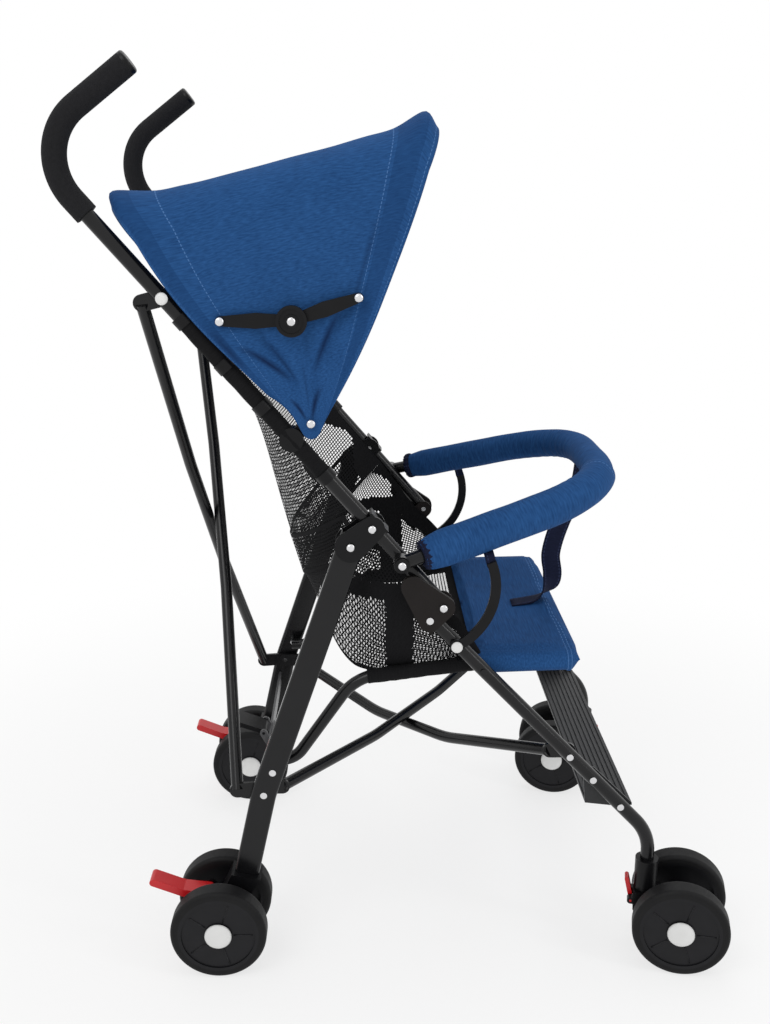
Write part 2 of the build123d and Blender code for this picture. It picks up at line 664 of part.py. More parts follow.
def brake_lever(side):
    y = side * SIDE_Y
    lever = side_plate(capsule(BRAKE_PIVOT, BRAKE_ELBOW, BRAKE_T), y - BRAKE_W / 2, y + BRAKE_W / 2)
    lever += side_plate(capsule(BRAKE_ELBOW, BRAKE_TIP, BRAKE_T), y - BRAKE_W / 2, y + BRAKE_W / 2)
    return lever - pin(BRAKE_PIVOT, y - BRAKE_W, y + BRAKE_W, PIN_D + 2 * AXLE_PLAY)


# Crossed tubes: each runs from one side's pivot to the other side's, and bends to pass the other
def crossed_tube(start, end, start_tab, end_tab, start_y, end_y, tab_y, pass_by, sag=0.0):
    """One tube of an X with a flat tab at each end."""
    bend_a = between(start, end, 0.5 - CROSS_BEND_SHARE)
    bend_b = between(start, end, 0.5 + CROSS_BEND_SHARE)
    bend_y = CROSS_BEND_SHARE * (end_y - start_y)
    middle_y = (start_y + end_y) / 2
    square = math.degrees(math.atan2(end[1] - start[1], end[0] - start[0])) + 90
    step = plus(ahead(square, pass_by * (CROSS_D / 2 + GAP)), (0.0, -sag))
    points = [at(start, start_y), at(plus(bend_a, step), middle_y - bend_y),
              at(plus(bend_b, step), middle_y + bend_y), at(end, end_y)]
    tube = round_bar(points, CROSS_BEND_R, CROSS_D)
    ends = ((start_tab, start, tab_y[0], start_y), (end_tab, end, tab_y[1], end_y))
    for pivot, reach, tab_face, side_y in ends:
        side = 1 if side_y > 0 else -1
        face = side * tab_face
        tab = side_plate(capsule(pivot, reach, 2 * CROSS_TAB_R), face, face - side * CROSS_TAB_T)
        tab -= pin(pivot, face + side, face - side * 2 * CROSS_TAB_T, PIN_D + 2 * AXLE_PLAY)
        tube += tab
    return tube


REAR_CROSS_TOP = plus(CROSS_PIVOT, REAR_CROSS_REACH_TOP)
REAR_CROSS_FOOT = plus(REAR_JOINT, REAR_CROSS_REACH_FOOT)
MAIN_TAB_Y = SIDE_Y - TUBE_D / 2 - GAP
LEG_TAB_Y = SIDE_Y - REAR_LEG_T / 2 - GAP
UNDER_TAB_Y = LEG_TAB_Y - CROSS_TAB_T - GAP


def rear_cross(top_side, pass_by):
    end_y = LEG_TAB_Y - CROSS_TAB_T / 2
    start_y = MAIN_TAB_Y - CROSS_TAB_T / 2
    return crossed_tube(REAR_CROSS_TOP, REAR_CROSS_FOOT, CROSS_PIVOT, REAR_JOINT, top_side * start_y,
                        -top_side * end_y, (MAIN_TAB_Y, LEG_TAB_Y), pass_by)


UNDER_REACH = CROSS_TAB_R + CROSS_D / 2 + UNDER_CROSS_ROOM
UNDER_FRONT = plus(UNDER_CROSS_PIVOT, (-UNDER_REACH, 0.0))
UNDER_REAR = plus(REAR_JOINT, (UNDER_REACH, 0.0))


def under_cross(front_side, pass_by):
    end_y = UNDER_TAB_Y - CROSS_TAB_T / 2
    start_y = MAIN_TAB_Y - CROSS_TAB_T / 2
    return crossed_tube(UNDER_FRONT, UNDER_REAR, UNDER_CROSS_PIVOT, REAR_JOINT, front_side * start_y,
                        -front_side * end_y, (MAIN_TAB_Y, UNDER_TAB_Y), pass_by, UNDER_CROSS_SAG)


# Seat rails and the seat's cloth
def seat_rail(side):
    y = side * RAIL_Y
    points = [RAIL_REAR, (RAIL_RISE_X, RAIL_REAR[1]), RAIL_BEND, RAIL_PIVOT, RAIL_FRONT]
    radii = [RAIL_FOOT_R, RAIL_BEND_R, RAIL_BEND_R]
    rail = round_bar([at(point, y) for point in points], radii, RAIL_D)
    stub = pin(RAIL_PIVOT, y, side * (SIDE_Y + TUBE_D / 2), PIN_D)
    outer = side * (SIDE_Y + TUBE_D / 2)
    return rail + stub + pin(RAIL_PIVOT, outer, outer + side * HEAD_T, RIVET_D)


FLAP_SHARE = (FLAP_START_X - RAIL_PIVOT[0]) / (RAIL_FRONT[0] - RAIL_PIVOT[0])
SEAT_FRONT = between(RAIL_PIVOT, RAIL_FRONT, FLAP_SHARE)
SEAT_HALF_W = RAIL_Y - RAIL_D / 2 - GAP
FLAP_HALF_W = RAIL_Y + RAIL_D / 2
SLING_DEPTHS = {SLING_TOP: SLING_TOP_DEPTH, SLING_UPPER: SLING_UPPER_DEPTH, SLING_MIDDLE: SLING_MIDDLE_DEPTH,
                SLING_LOWER: SLING_LOWER_DEPTH, SLING_FOOT: SLING_FOOT_DEPTH}


def sling_section(station, depth):
    """The hanging back cut square to the main tubes: a band that sags between its two edges."""
    half_line = [(1.0, 0.0), SLING_SHOULDER, SLING_FLOOR]
    line = half_line + [(-share, sag) for share, sag in reversed(half_line)]
    lower = [at(main_point(station, -depth * sag), share * SLING_HALF_W) for share, sag in line]
    lift = at(main_point(station, CLOTH_T), 0.0) - at(main_point(station), 0.0)
    upper = [point + lift for point in reversed(lower)]
    return make_face(Polyline(*lower, *upper, close=True))


def seat_back():
    """Back of the seat, slung between the main tubes and deepest near the seat."""
    return loft([sling_section(station, depth) for station, depth in SLING_DEPTHS.items()], ruled=True)


def strip_section(point, half_width):
    upper = plus(point, (0.0, CLOTH_T))
    corners = [at(point, -half_width), at(point, half_width), at(upper, half_width), at(upper, -half_width)]
    return make_face(Polyline(*corners, close=True))


def seat_base():
    """Seat cloth between the rails, running up behind to the foot of the back."""
    middle = plus(between(SEAT_CREASE, SEAT_FRONT, 0.5), (0.0, -SEAT_SAG))
    sections = [strip_section(SEAT_REAR, SEAT_REAR_HALF_W), strip_section(SEAT_CREASE, SEAT_CREASE_HALF_W),
                strip_section(middle, SEAT_HALF_W), strip_section(SEAT_FRONT, SEAT_HALF_W)]
    return loft(sections, ruled=True)


def seat_flap():
    """Padded front of the seat, laid over both rails."""
    above = RAIL_D / 2 + GAP
    start = plus(SEAT_FRONT, (GAP * 2, above))
    end = plus(RAIL_FRONT, (RAIL_D, above))
    panel = polygon(start, end, plus(end, (0, FLAP_T)), plus(start, (0, FLAP_T)))
    body = side_plate(panel, -FLAP_HALF_W, FLAP_HALF_W)
    return fillet(body.edges().filter_by(Axis.Y), FLAP_T * 0.3)


def seat_side(side):
    """Side wall between the main tube, the foot of the back and the seat."""
    low = main_point(KNUCKLE_STATION - KNUCKLE_D, -SEAT_SIDE_DROP)
    high = main_point(SEAT_SIDE_TOP, -SEAT_SIDE_DROP)
    rear = main_point(SEAT_SIDE_TOP, -SEAT_SIDE_REAR_DROP)
    above = (0.0, SEAT_SIDE_DROP)
    crease = plus(SEAT_CREASE, (SEAT_SIDE_DROP, SEAT_SIDE_DROP))
    outline = polygon(high, rear, crease, plus(SEAT_FRONT, above), low)
    face = side * SEAT_SIDE_Y
    return side_plate(outline, face, face + side * CLOTH_T)


# Bumper bar, drawn flat and then raised about its pivots
BUMPER_TOE = (BUMPER_Y - BUMPER_FRONT_HALF_W) / BUMPER_REACH


def bumper_place(reach, side):
    """A point of the bar's near-straight arm, which closes in towards the front."""
    return at(plus(BUMPER_PIVOT, ahead(BUMPER_ANGLE, reach)), side * (BUMPER_Y - BUMPER_TOE * reach))


def bumper_points(start):
    return [bumper_place(start, RIGHT), bumper_place(BUMPER_REACH, RIGHT),
            bumper_place(BUMPER_REACH, LEFT), bumper_place(start, LEFT)]


def bumper_tube():
    bar = round_bar(bumper_points(0.0), BUMPER_CORNER_R, TUBE_D, TUBE_WALL)
    for side in SIDES.values():
        y = side * BUMPER_Y
        bar += pin(BUMPER_PIVOT, y - TUBE_D / 2 + GAP, y + TUBE_D / 2 - GAP, TUBE_D + 2 * TUBE_WALL)
        bar -= pin(BUMPER_PIVOT, y - TUBE_D, y + TUBE_D, PIN_D + 2 * AXLE_PLAY)
    return bar


def bumper_pad():
    """Padded sleeve on the bar, gathered in towards both ends."""
    full = BUMPER_PAD_START + BUMPER_PAD_TAPER
    pad = round_bar(bumper_points(full), BUMPER_CORNER_R, BUMPER_PAD_D)
    for side in SIDES.values():
        end = bumper_place(BUMPER_PAD_START, side)
        start = bumper_place(full, side)
        plane = Plane(origin=end, z_dir=start - end)
        narrow = plane * Circle(BUMPER_PAD_END_D / 2)
        wide = Plane(origin=start, x_dir=plane.x_dir, z_dir=plane.z_dir) * Circle(BUMPER_PAD_D / 2)
        pad += loft([narrow, wide])
    return pad - round_bar(bumper_points(0.0), BUMPER_CORNER_R, TUBE_D + 2 * FIT)


def bumper_pin(side):
    """Pin through the main tube that the bar's eye turns on, with a round head outside."""
    y = side * SIDE_Y
    outer = side * (BUMPER_Y + TUBE_D / 2 - GAP / 2)
    body = pin(BUMPER_PIVOT, y - side * TUBE_D / 2, outer, PIN_D)
    return body + pin(BUMPER_PIVOT, outer, outer + side * 2 * HEAD_T, TUBE_D)


def bumper_arc(side):
    """Flat curved strip from the front leg to the underside of the padded bar."""
    top = plus(BUMPER_PIVOT, (ARC_TOP_REACH, -ARC_TOP_DROP))
    chord = math.degrees(math.atan2(top[1] - ARC_PIVOT[1], top[0] - ARC_PIVOT[0]))
    crown = plus(between(ARC_PIVOT, top, 0.5), ahead(chord - 90, ARC_BULGE))
    line = ThreePointArc(ARC_PIVOT, crown, top)
    strip = trace(line, ARC_W)
    face = side * (SIDE_Y + TUBE_FACE)
    body = side_plate(strip, face, face + side * ARC_T)
    body += pin(ARC_PIVOT, face, face + side * ARC_T, TUBE_D)
    body += pin(ARC_PIVOT, side * (SIDE_Y - TUBE_D / 2), face, PIN_D)
    return body + pin(ARC_PIVOT, face + side * ARC_T, face + side * (ARC_T + HEAD_T), ARC_CAP_D)


# Hood: two bows on one pivot, a canopy between them and a folding stay on each side
BOW_INSET = HOOD_CLOTH_T + 3 * GAP + BOW_D / 2
BOW_Y = HOOD_HALF_W - BOW_INSET


def hood_bow(angle, length, eye_y):
    """A round bow with a flat eye at each foot, from |y| eye_y outwards, for the hood's pivot."""
    foot = plus(HOOD_PIVOT, ahead(angle, BOW_START))
    head = plus(HOOD_PIVOT, ahead(angle, length - BOW_INSET))
    points = [at(foot, -BOW_Y), at(head, -BOW_Y), at(head, BOW_Y), at(foot, BOW_Y)]
    bow = round_bar(points, HOOD_CORNER_R - BOW_INSET, BOW_D)
    tip = plus(HOOD_PIVOT, ahead(angle, BOW_EYE_LENGTH))
    for side in SIDES.values():
        face = side * eye_y
        eye = side_plate(capsule(HOOD_PIVOT, tip, BOW_EYE_W), face, face + side * BOW_EYE_T)
        bow += eye - pin(HOOD_PIVOT, face - side, face + side * 2 * BOW_EYE_T, PIN_D + 2 * AXLE_PLAY)
    return bow


def arch_points(angle, length, inset):
    foot = plus(HOOD_PIVOT, ahead(angle, HOOD_FOOT))
    head = plus(HOOD_PIVOT, ahead(angle, length - inset))
    half = HOOD_HALF_W - inset
    return [at(foot, -half), at(head, -half), at(head, half), at(foot, half)]


def arch_face(angle, length):
    """Thin inverted U in a bow's plane: the canopy's edge there."""
    outer = FilletPolyline(*arch_points(angle, length, 0.0), radius=HOOD_CORNER_R)
    inner = FilletPolyline(*arch_points(angle, length, HOOD_CLOTH_T), radius=HOOD_CORNER_R - HOOD_CLOTH_T)
    ends = [Line(outer @ 0, inner @ 0), Line(outer @ 1, inner @ 1)]
    return Face(Wire(outer.edges() + inner.edges() + [end.edge() for end in ends]))


def hood_canopy():
    rear = arch_face(HOOD_REAR_ANGLE, HOOD_REAR_LENGTH)
    front = arch_face(HOOD_FRONT_ANGLE, HOOD_FRONT_LENGTH)
    return loft([rear, front], ruled=True)


def hood_clip(side):
    """Clip on the main tube with an ear up to the hood pivot."""
    y = side * SIDE_Y
    station = main_point(HOOD_STATION)
    ring = side_plate(disc(station, HOOD_CLIP_D), y - HOOD_CLIP_W / 2, y + HOOD_CLIP_W / 2)
    above = at(main_point(HOOD_STATION - HOOD_CLIP_D), y)
    under = at(main_point(HOOD_STATION + HOOD_CLIP_D), y)
    path = bent([above, under], 0)
    bore = sweep(Plane(origin=path @ 0, z_dir=path % 0) * Circle(TUBE_D / 2 + FIT), path=path)
    ear = side_plate(hull(disc(HOOD_PIVOT, HOOD_EAR_D), disc(station, HOOD_EAR_D)),
                     y - HOOD_EAR_T / 2, y + HOOD_EAR_T / 2)
    ear -= pin(HOOD_PIVOT, y - HOOD_EAR_T, y + HOOD_EAR_T, PIN_D + 2 * AXLE_PLAY)
    return ring + ear - bore


STAY_Y = HOOD_HALF_W + GAP
STAY_REAR = plus(HOOD_PIVOT, ahead(HOOD_REAR_ANGLE, STAY_REAR_REACH))
STAY_FRONT = plus(HOOD_PIVOT, ahead(HOOD_FRONT_ANGLE, STAY_FRONT_REACH))
STAY_KNOB = plus(HOOD_PIVOT, ahead(STAY_KNOB_ANGLE, STAY_KNOB_REACH))


def stay_leaf(a, b):
    """Outline of an arm that is widest halfway."""
    return hull(disc(a, STAY_END_W), disc(between(a, b, 0.5), STAY_MIDDLE_W), disc(b, STAY_END_W))


def stay_rear_arm(side):
    face = side * STAY_Y
    arm = side_plate(stay_leaf(STAY_REAR, STAY_KNOB), face, face + side * STAY_T)
    arm += pin(STAY_REAR, face, face + side * (STAY_T + HEAD_T), RIVET_D)
    return arm - pin(STAY_KNOB, face - side, face + side * 3 * STAY_T, PIN_D + 2 * AXLE_PLAY)


def stay_front_arm(side):
    face = side * (STAY_Y + STAY_T + GAP)
    arm = side_plate(stay_leaf(STAY_FRONT, STAY_KNOB), face, face + side * STAY_T)
    arm += pin(STAY_FRONT, face, face + side * (STAY_T + HEAD_T), RIVET_D)
    return arm - pin(STAY_KNOB, face - side, face + side * 3 * STAY_T, PIN_D + 2 * AXLE_PLAY)


def stay_knob(side):
    face = side * (STAY_Y + 2 * STAY_T + 2 * GAP)
    top = face + side * STAY_KNOB_T
    floor = top - side * KNOB_GROOVE_DEPTH
    knob = pin(STAY_KNOB, face, top, STAY_KNOB_D)
    knob -= pin(STAY_KNOB, floor, top, KNOB_GROOVE_D) - pin(STAY_KNOB, floor, top, KNOB_BOSS_D)
    return knob + pin(STAY_KNOB, face - side * (STAY_T + GAP), face, PIN_D)


# Small pieces on the main tubes
def cloth_clips(side):
    """Narrow rings that hold the seat cloth's sleeve on the tube."""
    y = side * SIDE_Y
    rings = []
    for station in (CLIP_TOP_STATION, CLIP_UPPER_STATION, CLIP_LOWER_STATION, CLIP_FOOT_STATION):
        path = bent([at(main_point(station - CLIP_W / 2), y), at(main_point(station + CLIP_W / 2), y)], 0)
        plane = Plane(origin=path @ 0, z_dir=path % 0)
        rings.append(sweep(plane * (Circle(TUBE_D / 2 + CLIP_T) - Circle(TUBE_D / 2 + FIT)), path=path))
    return rings


def frame_pins(side):
    """Rivets that stay with the main tube: cross pivot, bracket, leg, knuckle and hood pivots."""
    cheek_in = SIDE_Y - TUBE_FACE - PLATE
    cheek_out = SIDE_Y + TUBE_FACE + PLATE
    return [rivet(CROSS_PIVOT, MAIN_TAB_Y - CROSS_TAB_T, SIDE_Y + TUBE_D / 2, side),
            rivet(main_point(BRACKET_STATION), cheek_in, cheek_out, side),
            rivet(LEG_PIVOT, cheek_in, cheek_out, side),
            rivet(KNUCKLE, cheek_in, SIDE_Y + TUBE_FACE + KNUCKLE_COVER_T, side),
            rivet(HOOD_PIVOT, SIDE_Y - HOOD_EAR_T / 2, HOOD_HALF_W + GAP, side)]


nodes = {}
for name, side in SIDES.items():
    nodes[f"main_tube_{name}"] = main_tube(side)
    nodes[f"handle_grip_{name}"] = handle_grip(side)
    nodes[f"rear_leg_{name}"] = rear_leg(side)
    nodes[f"front_leg_{name}"] = front_leg(side)
    nodes[f"caster_fork_{name}"] = caster_fork(side)
    nodes[f"swivel_lock_{name}"] = swivel_lock(side)
    nodes[f"brake_lever_{name}"] = brake_lever(side)
    hubs, tyres, axle = wheel_pair(caster_place(side), CASTER_AXLE)
    nodes[f"front_hubs_{name}"] = hubs
    nodes[f"front_tyres_{name}"] = tyres
    nodes[f"front_axle_{name}"] = axle
    hubs, tyres, axle = wheel_pair(Pos(0, side * SIDE_Y, 0), REAR_AXLE)
    nodes[f"rear_hubs_{name}"] = hubs
    nodes[f"rear_tyres_{name}"] = tyres
    nodes[f"rear_axle_{name}"] = axle
    nodes[f"rear_cross_tube_{name}"] = rear_cross(side, side)
    nodes[f"under_cross_tube_{name}"] = under_cross(side, -side)
    nodes[f"seat_rail_{name}"] = seat_rail(side)

nodes["handle_end_caps"] = both(grip_cap)
nodes["rear_leg_brackets"] = both(rear_leg_bracket)
nodes["rear_forks"] = both(rear_fork)
nodes["rear_leg_rivets"] = group(*rear_pins(RIGHT), *rear_pins(LEFT))
nodes["lock_brace_bars"] = both(brace_bar)
nodes["lock_brace_pin"] = brace_pin()
nodes["lock_pedal"] = lock_pedal()
nodes["knuckles"] = both(knuckle)
nodes["front_leg_rivets"] = group(*front_rivets(RIGHT), *front_rivets(LEFT))
nodes["footrest"] = footrest()
nodes["caster_sockets"] = both(caster_socket)
nodes["seat_back"] = seat_back()
nodes["seat_base"] = seat_base()
nodes["seat_sides"] = both(seat_side)
nodes["seat_flap"] = seat_flap()
nodes["bumper_tube"] = bumper_tube()
nodes["bumper_pad"] = bumper_pad()
nodes["bumper_pins"] = both(bumper_pin)
nodes["bumper_arcs"] = both(bumper_arc)
FRONT_EYE_Y = SIDE_Y + HOOD_EAR_T / 2 + GAP
nodes["hood_front_bow"] = hood_bow(HOOD_FRONT_ANGLE, HOOD_FRONT_LENGTH, FRONT_EYE_Y)
nodes["hood_rear_bow"] = hood_bow(HOOD_REAR_ANGLE, HOOD_REAR_LENGTH, FRONT_EYE_Y + BOW_EYE_T + GAP)
nodes["hood_canopy"] = hood_canopy()
nodes["hood_clips"] = both(hood_clip)
nodes["hood_stay_rear_arms"] = both(stay_rear_arm)
nodes["hood_stay_front_arms"] = both(stay_front_arm)
nodes["hood_stay_knobs"] = both(stay_knob)
nodes["cloth_clips"] = group(*cloth_clips(RIGHT), *cloth_clips(LEFT))
nodes["frame_rivets"] = group(*frame_pins(RIGHT), *frame_pins(LEFT))

REARMOST = nodes["handle_grip_right"].bounding_box().min.X
FRONTMOST = nodes["front_tyres_right"].bounding_box().max.X
SHIFT_X = -(REARMOST + FRONTMOST) / 2

os.makedirs("parts", exist_ok=True)
for name, solid in nodes.items():
    export_step(Pos(SHIFT_X, 0, 0) * solid, f"parts/{name}.step")
print(len(nodes), "nodes, shifted", round(SHIFT_X, 2), "mm along X")
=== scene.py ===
# %% [markdown]
# # An umbrella stroller
# We dress a folding stroller: painted steel tubes, a denim hood, a mesh seat and a padded bar.
# The hard pieces come from the CAD frame. We add the soft pieces and the small trim that a factory
# would sew, press or snap on last.

# %% Load the frame
import json
from math import cos, exp, pi, radians, sin, tan

import bmesh
import bpy
from mathutils import Matrix, Vector, noise


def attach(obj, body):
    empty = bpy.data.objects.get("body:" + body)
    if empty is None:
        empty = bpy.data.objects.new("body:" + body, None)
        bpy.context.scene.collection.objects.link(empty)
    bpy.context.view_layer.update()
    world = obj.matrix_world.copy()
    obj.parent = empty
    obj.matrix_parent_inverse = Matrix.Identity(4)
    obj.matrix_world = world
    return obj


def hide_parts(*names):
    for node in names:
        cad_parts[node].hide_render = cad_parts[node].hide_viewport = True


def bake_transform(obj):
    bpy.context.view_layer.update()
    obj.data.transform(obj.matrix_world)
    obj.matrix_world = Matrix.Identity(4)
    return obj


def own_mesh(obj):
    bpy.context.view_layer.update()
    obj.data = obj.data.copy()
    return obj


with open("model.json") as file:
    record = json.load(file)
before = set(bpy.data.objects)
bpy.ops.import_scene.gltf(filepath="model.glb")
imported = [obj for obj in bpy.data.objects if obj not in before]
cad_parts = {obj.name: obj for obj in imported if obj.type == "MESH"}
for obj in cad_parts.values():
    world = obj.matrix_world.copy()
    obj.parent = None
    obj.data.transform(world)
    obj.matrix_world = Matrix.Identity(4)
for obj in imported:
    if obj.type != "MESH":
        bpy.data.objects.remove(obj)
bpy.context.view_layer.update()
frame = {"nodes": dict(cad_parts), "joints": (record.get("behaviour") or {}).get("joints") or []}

MM = 0.001
SIDES = (-1, 1)
PIVOT = {joint["name"]: Vector(joint["pos_m"]) / MM for joint in frame["joints"]}
AXIS = {joint["name"]: Vector(joint["axis"]) for joint in frame["joints"]}

# %% [markdown]
# The side frame sets every place on a stroller, so we measure along the main tube from the rivet
# near its top. A station runs down the tube, and a rise stands off it, up and to the front.

# %% Places on the side frame
TOP = PIVOT["fold_rear_cross"].copy()
TOP.y = 0.0
KNEE = PIVOT["fold_front_legs"].copy()
KNEE.y = 0.0
DOWN = (KNEE - TOP).normalized()
OUT = Vector((-DOWN.z, 0.0, DOWN.x))
TOP_DRAWN = (-201.7, 780.7)


def on_main(station, rise=0.0, y=0.0):
    """A point in millimetres at a station along the main tube."""
    return TOP + DOWN * station + OUT * rise + Vector((0.0, y, 0.0))


def drawn(x, z, y=0.0):
    """A point given in the side view's own drawing."""
    return TOP + Vector((x - TOP_DRAWN[0], y, z - TOP_DRAWN[1]))


def clamp(t):
    """A value held between 0 and 1."""
    return min(max(t, 0.0), 1.0)


def smooth(t):
    """An easy start and an easy end between 0 and 1."""
    t = clamp(t)
    return t * t * (3.0 - 2.0 * t)


def hump(x, middle, width):
    """A rounded hill of height 1 about a middle."""
    return exp(-(((x - middle) / width) ** 2))


def lookup(table, key):
    """A smooth value between the rows of a table."""
    keys = sorted(table)
    key = min(max(key, keys[0]), keys[-1])
    last = len(keys) - 2
    i = min(max(sum(k <= key for k in keys) - 1, 0), last)
    a, b = keys[i], keys[i + 1]
    before, after = keys[max(i - 1, 0)], keys[min(i + 2, last + 1)]
    t = (key - a) / (b - a)
    slope_a = (table[b] - table[before]) * ((b - a) / (b - before))
    slope_b = (table[after] - table[a]) * ((b - a) / (after - a))
    return (table[a] * (2 * t**3 - 3 * t**2 + 1) + slope_a * (t**3 - 2 * t**2 + t)
            + table[b] * (3 * t**2 - 2 * t**3) + slope_b * (t**3 - t**2))


print("main tube leans", [round(x, 3) for x in DOWN])

# %% [markdown]
# Colours and roughness vary a little over any real surface. The class below lets us write that
# variation as arithmetic on shader sockets, which reads more easily than a wall of nodes.

# %% Shader arithmetic


class Shade:
    """One socket of a material, with ordinary arithmetic."""

    def __init__(self, tree, socket):
        self.tree = tree
        self.socket = socket

    def plug(self, target, value):
        if isinstance(value, Shade):
            self.tree.links.new(value.socket, target)
        else:
            target.default_value = value

    def node(self, kind, settings, sockets, output=0):
        """Any other node: its settings first, then its sockets' values or links."""
        made = self.tree.nodes.new(kind)
        for name, value in settings.items():
            setattr(made, name, value)
        for name, value in sockets.items():
            self.plug(made.inputs[name], value)
        return Shade(self.tree, made.outputs[output])

    def math(self, operation, first, second=0.0):
        return self.node("ShaderNodeMath", {"operation": operation}, {0: first, 1: second})

    def __add__(self, other):
        return self.math("ADD", self, other)

    def __sub__(self, other):
        return self.math("SUBTRACT", self, other)

    def __rsub__(self, other):
        return self.math("SUBTRACT", other, self)

    def __mul__(self, other):
        return self.math("MULTIPLY", self, other)

    def __truediv__(self, other):
        return self.math("DIVIDE", self, other)

    __radd__ = __add__
    __rmul__ = __mul__

    def __lt__(self, other):
        return self.math("LESS_THAN", self, other)

    def __gt__(self, other):
        return self.math("GREATER_THAN", self, other)

    def __abs__(self):
        return self.math("ABSOLUTE", self)

    def __mod__(self, other):
        return self.math("FLOORED_MODULO", self, other)

    def noise(self, scale, stretch=(1.0, 1.0, 1.0), detail=3.0):
        """Soft random variation from 0 to 1 over this vector."""
        spread = self.node("ShaderNodeVectorMath", {"operation": "MULTIPLY"},
                           {0: self, 1: stretch})
        return self.node("ShaderNodeTexNoise", {},
                         {"Vector": spread, "Scale": scale, "Detail": detail})

    def mix(self, low, high):
        """A colour between two, by this value."""
        return self.node("ShaderNodeMix", {"data_type": "RGBA"}, {0: self, 6: low, 7: high}, 2)

    def bump(self, strength, depth):
        """A normal from this height."""
        return self.node("ShaderNodeBump", {},
                         {"Strength": strength, "Distance": depth, "Height": self})


def rgb(red, green, blue):
    return (red, green, blue, 1.0)


def begin(name):
    """A new material's shader, with its object and UV coordinates."""
    made = bpy.data.materials.new(name)
    made.use_nodes = True
    tree = made.node_tree
    shader = tree.nodes["Principled BSDF"]
    places = tree.nodes.new("ShaderNodeTexCoord")
    place, flat = (Shade(tree, places.outputs[space]) for space in ("Object", "UV"))
    return made, shader, place, flat


GRAIN_SCALE = 1800.0
GRAIN_DEPTH = 0.0004


def hard(name, dark, light, rough, scale=60.0, grain=0.0, **constants):
    """A paint, plastic, rubber or metal with a little variation and grain."""
    made, shader, place, _ = begin(name)
    place.plug(shader.inputs["Base Color"], place.noise(scale).mix(dark, light))
    low, high = rough
    place.plug(shader.inputs["Roughness"], low + (high - low) * place.noise(scale * 3.0))
    if grain:
        place.plug(shader.inputs["Normal"], place.noise(GRAIN_SCALE).bump(grain, GRAIN_DEPTH))
    for socket, value in constants.items():
        shader.inputs[socket.replace("_", " ")].default_value = value
    return made


print("shader helpers are ready")

# %% [markdown]
# The tubes are sprayed and baked, which leaves a hard gloss. The moulded joints keep the fine grain
# of their steel mould. The grips are cut from foam hose, so they are dull and slightly pitted.

# %% Paint, plastic, rubber and metal
PAINT = hard("gloss black paint", rgb(0.003, 0.003, 0.0035), rgb(0.006, 0.006, 0.007),
             (0.16, 0.26), Specular_IOR_Level=0.3)
PLASTIC = hard("black plastic", rgb(0.003, 0.003, 0.0035), rgb(0.006, 0.006, 0.007),
               (0.28, 0.4), grain=0.12, Specular_IOR_Level=0.18)
KNUCKLE = hard("matte black plastic", rgb(0.007, 0.0055, 0.005), rgb(0.012, 0.0095, 0.009),
               (0.5, 0.62), grain=0.25, Specular_IOR_Level=0.18)
GREY = hard("grey-black plastic", rgb(0.018, 0.0185, 0.02), rgb(0.028, 0.029, 0.031),
            (0.4, 0.52), grain=0.2, Specular_IOR_Level=0.3)
BRACE = hard("grey painted steel", rgb(0.07, 0.07, 0.074), rgb(0.1, 0.1, 0.104), (0.34, 0.46))
FOAM = hard("charcoal foam", rgb(0.007, 0.007, 0.008), rgb(0.015, 0.015, 0.017),
            (0.85, 0.95), scale=300.0, grain=0.9, Specular_IOR_Level=0.2)
RUBBER = hard("tyre", rgb(0.004, 0.004, 0.0045), rgb(0.009, 0.009, 0.0095),
              (0.5, 0.65), grain=0.2, Specular_IOR_Level=0.18)
HUB = hard("wheel plastic", rgb(0.005, 0.005, 0.006), rgb(0.01, 0.01, 0.012),
           (0.34, 0.45), grain=0.1, Specular_IOR_Level=0.2)
RED = hard("red plastic", rgb(0.52, 0.004, 0.008), rgb(0.62, 0.007, 0.011), (0.3, 0.4))
WHITE = hard("white plastic", rgb(0.72, 0.72, 0.71), rgb(0.8, 0.8, 0.79), (0.25, 0.35))
STEEL = hard("bright steel", rgb(0.62, 0.62, 0.63), rgb(0.75, 0.75, 0.76), (0.18, 0.3),
             Metallic=1.0)
print(len(bpy.data.materials), "materials so far")

# %% [markdown]
# Denim is a twill, with blue warp over pale weft, and it shows fine streaks along the weave. Its
# seams are sewn with a paler thread, so we draw rows of short dashes at chosen places.

# %% Cloth
STITCH_HALF_W = 0.0006
STITCH_PITCH = 0.0045
STITCH_SHARE = 0.62
WEAVE_SCALE = 18.0
WEAVE_STREAK = (5.0, 30.0, 1.0)
WEAVE_DEPTH = 0.0006
WEAVE_CONTRAST = 1.7
CLOUD_SCALE = 28.0
CLOUD_SHARE = 0.3
# Painted shade: how far a shade band darkens the cloth towards its dark colour.
SHADE_BAND_TONE = 0.4
HOOD_CUT = (0.4, 1.07)
# Painted shade: the dark blue laid into the hood's fold valleys, where shadow falls.
CREASE_SHADE = rgb(0.003, 0.012, 0.05)


def dashes(across, along, at):
    """A row of stitches where a coordinate passes a value."""
    on_row = abs(across - at) < STITCH_HALF_W
    return on_row * ((along % STITCH_PITCH) < STITCH_PITCH * STITCH_SHARE)


def from_tip(along):
    """How far a place on the hood's cut lies from the nearer of its two tips."""
    return HOOD_CUT[1] / 2 - abs(along - HOOD_CUT[1] / 2)


def crease_shade(across, along, start, end, half_width):
    """How much painted shade a place takes in a fold's valley between two UV points, from 0 to 1.
    """
    share = (along - start[1]) / (end[1] - start[1])
    off = abs(across - (start[0] + share * (end[0] - start[0])))
    depth = off.math("MAXIMUM", 1.0 - off / half_width, 0.0)
    return depth * off.math("MAXIMUM", 4.0 * share * (1.0 - share), 0.0)


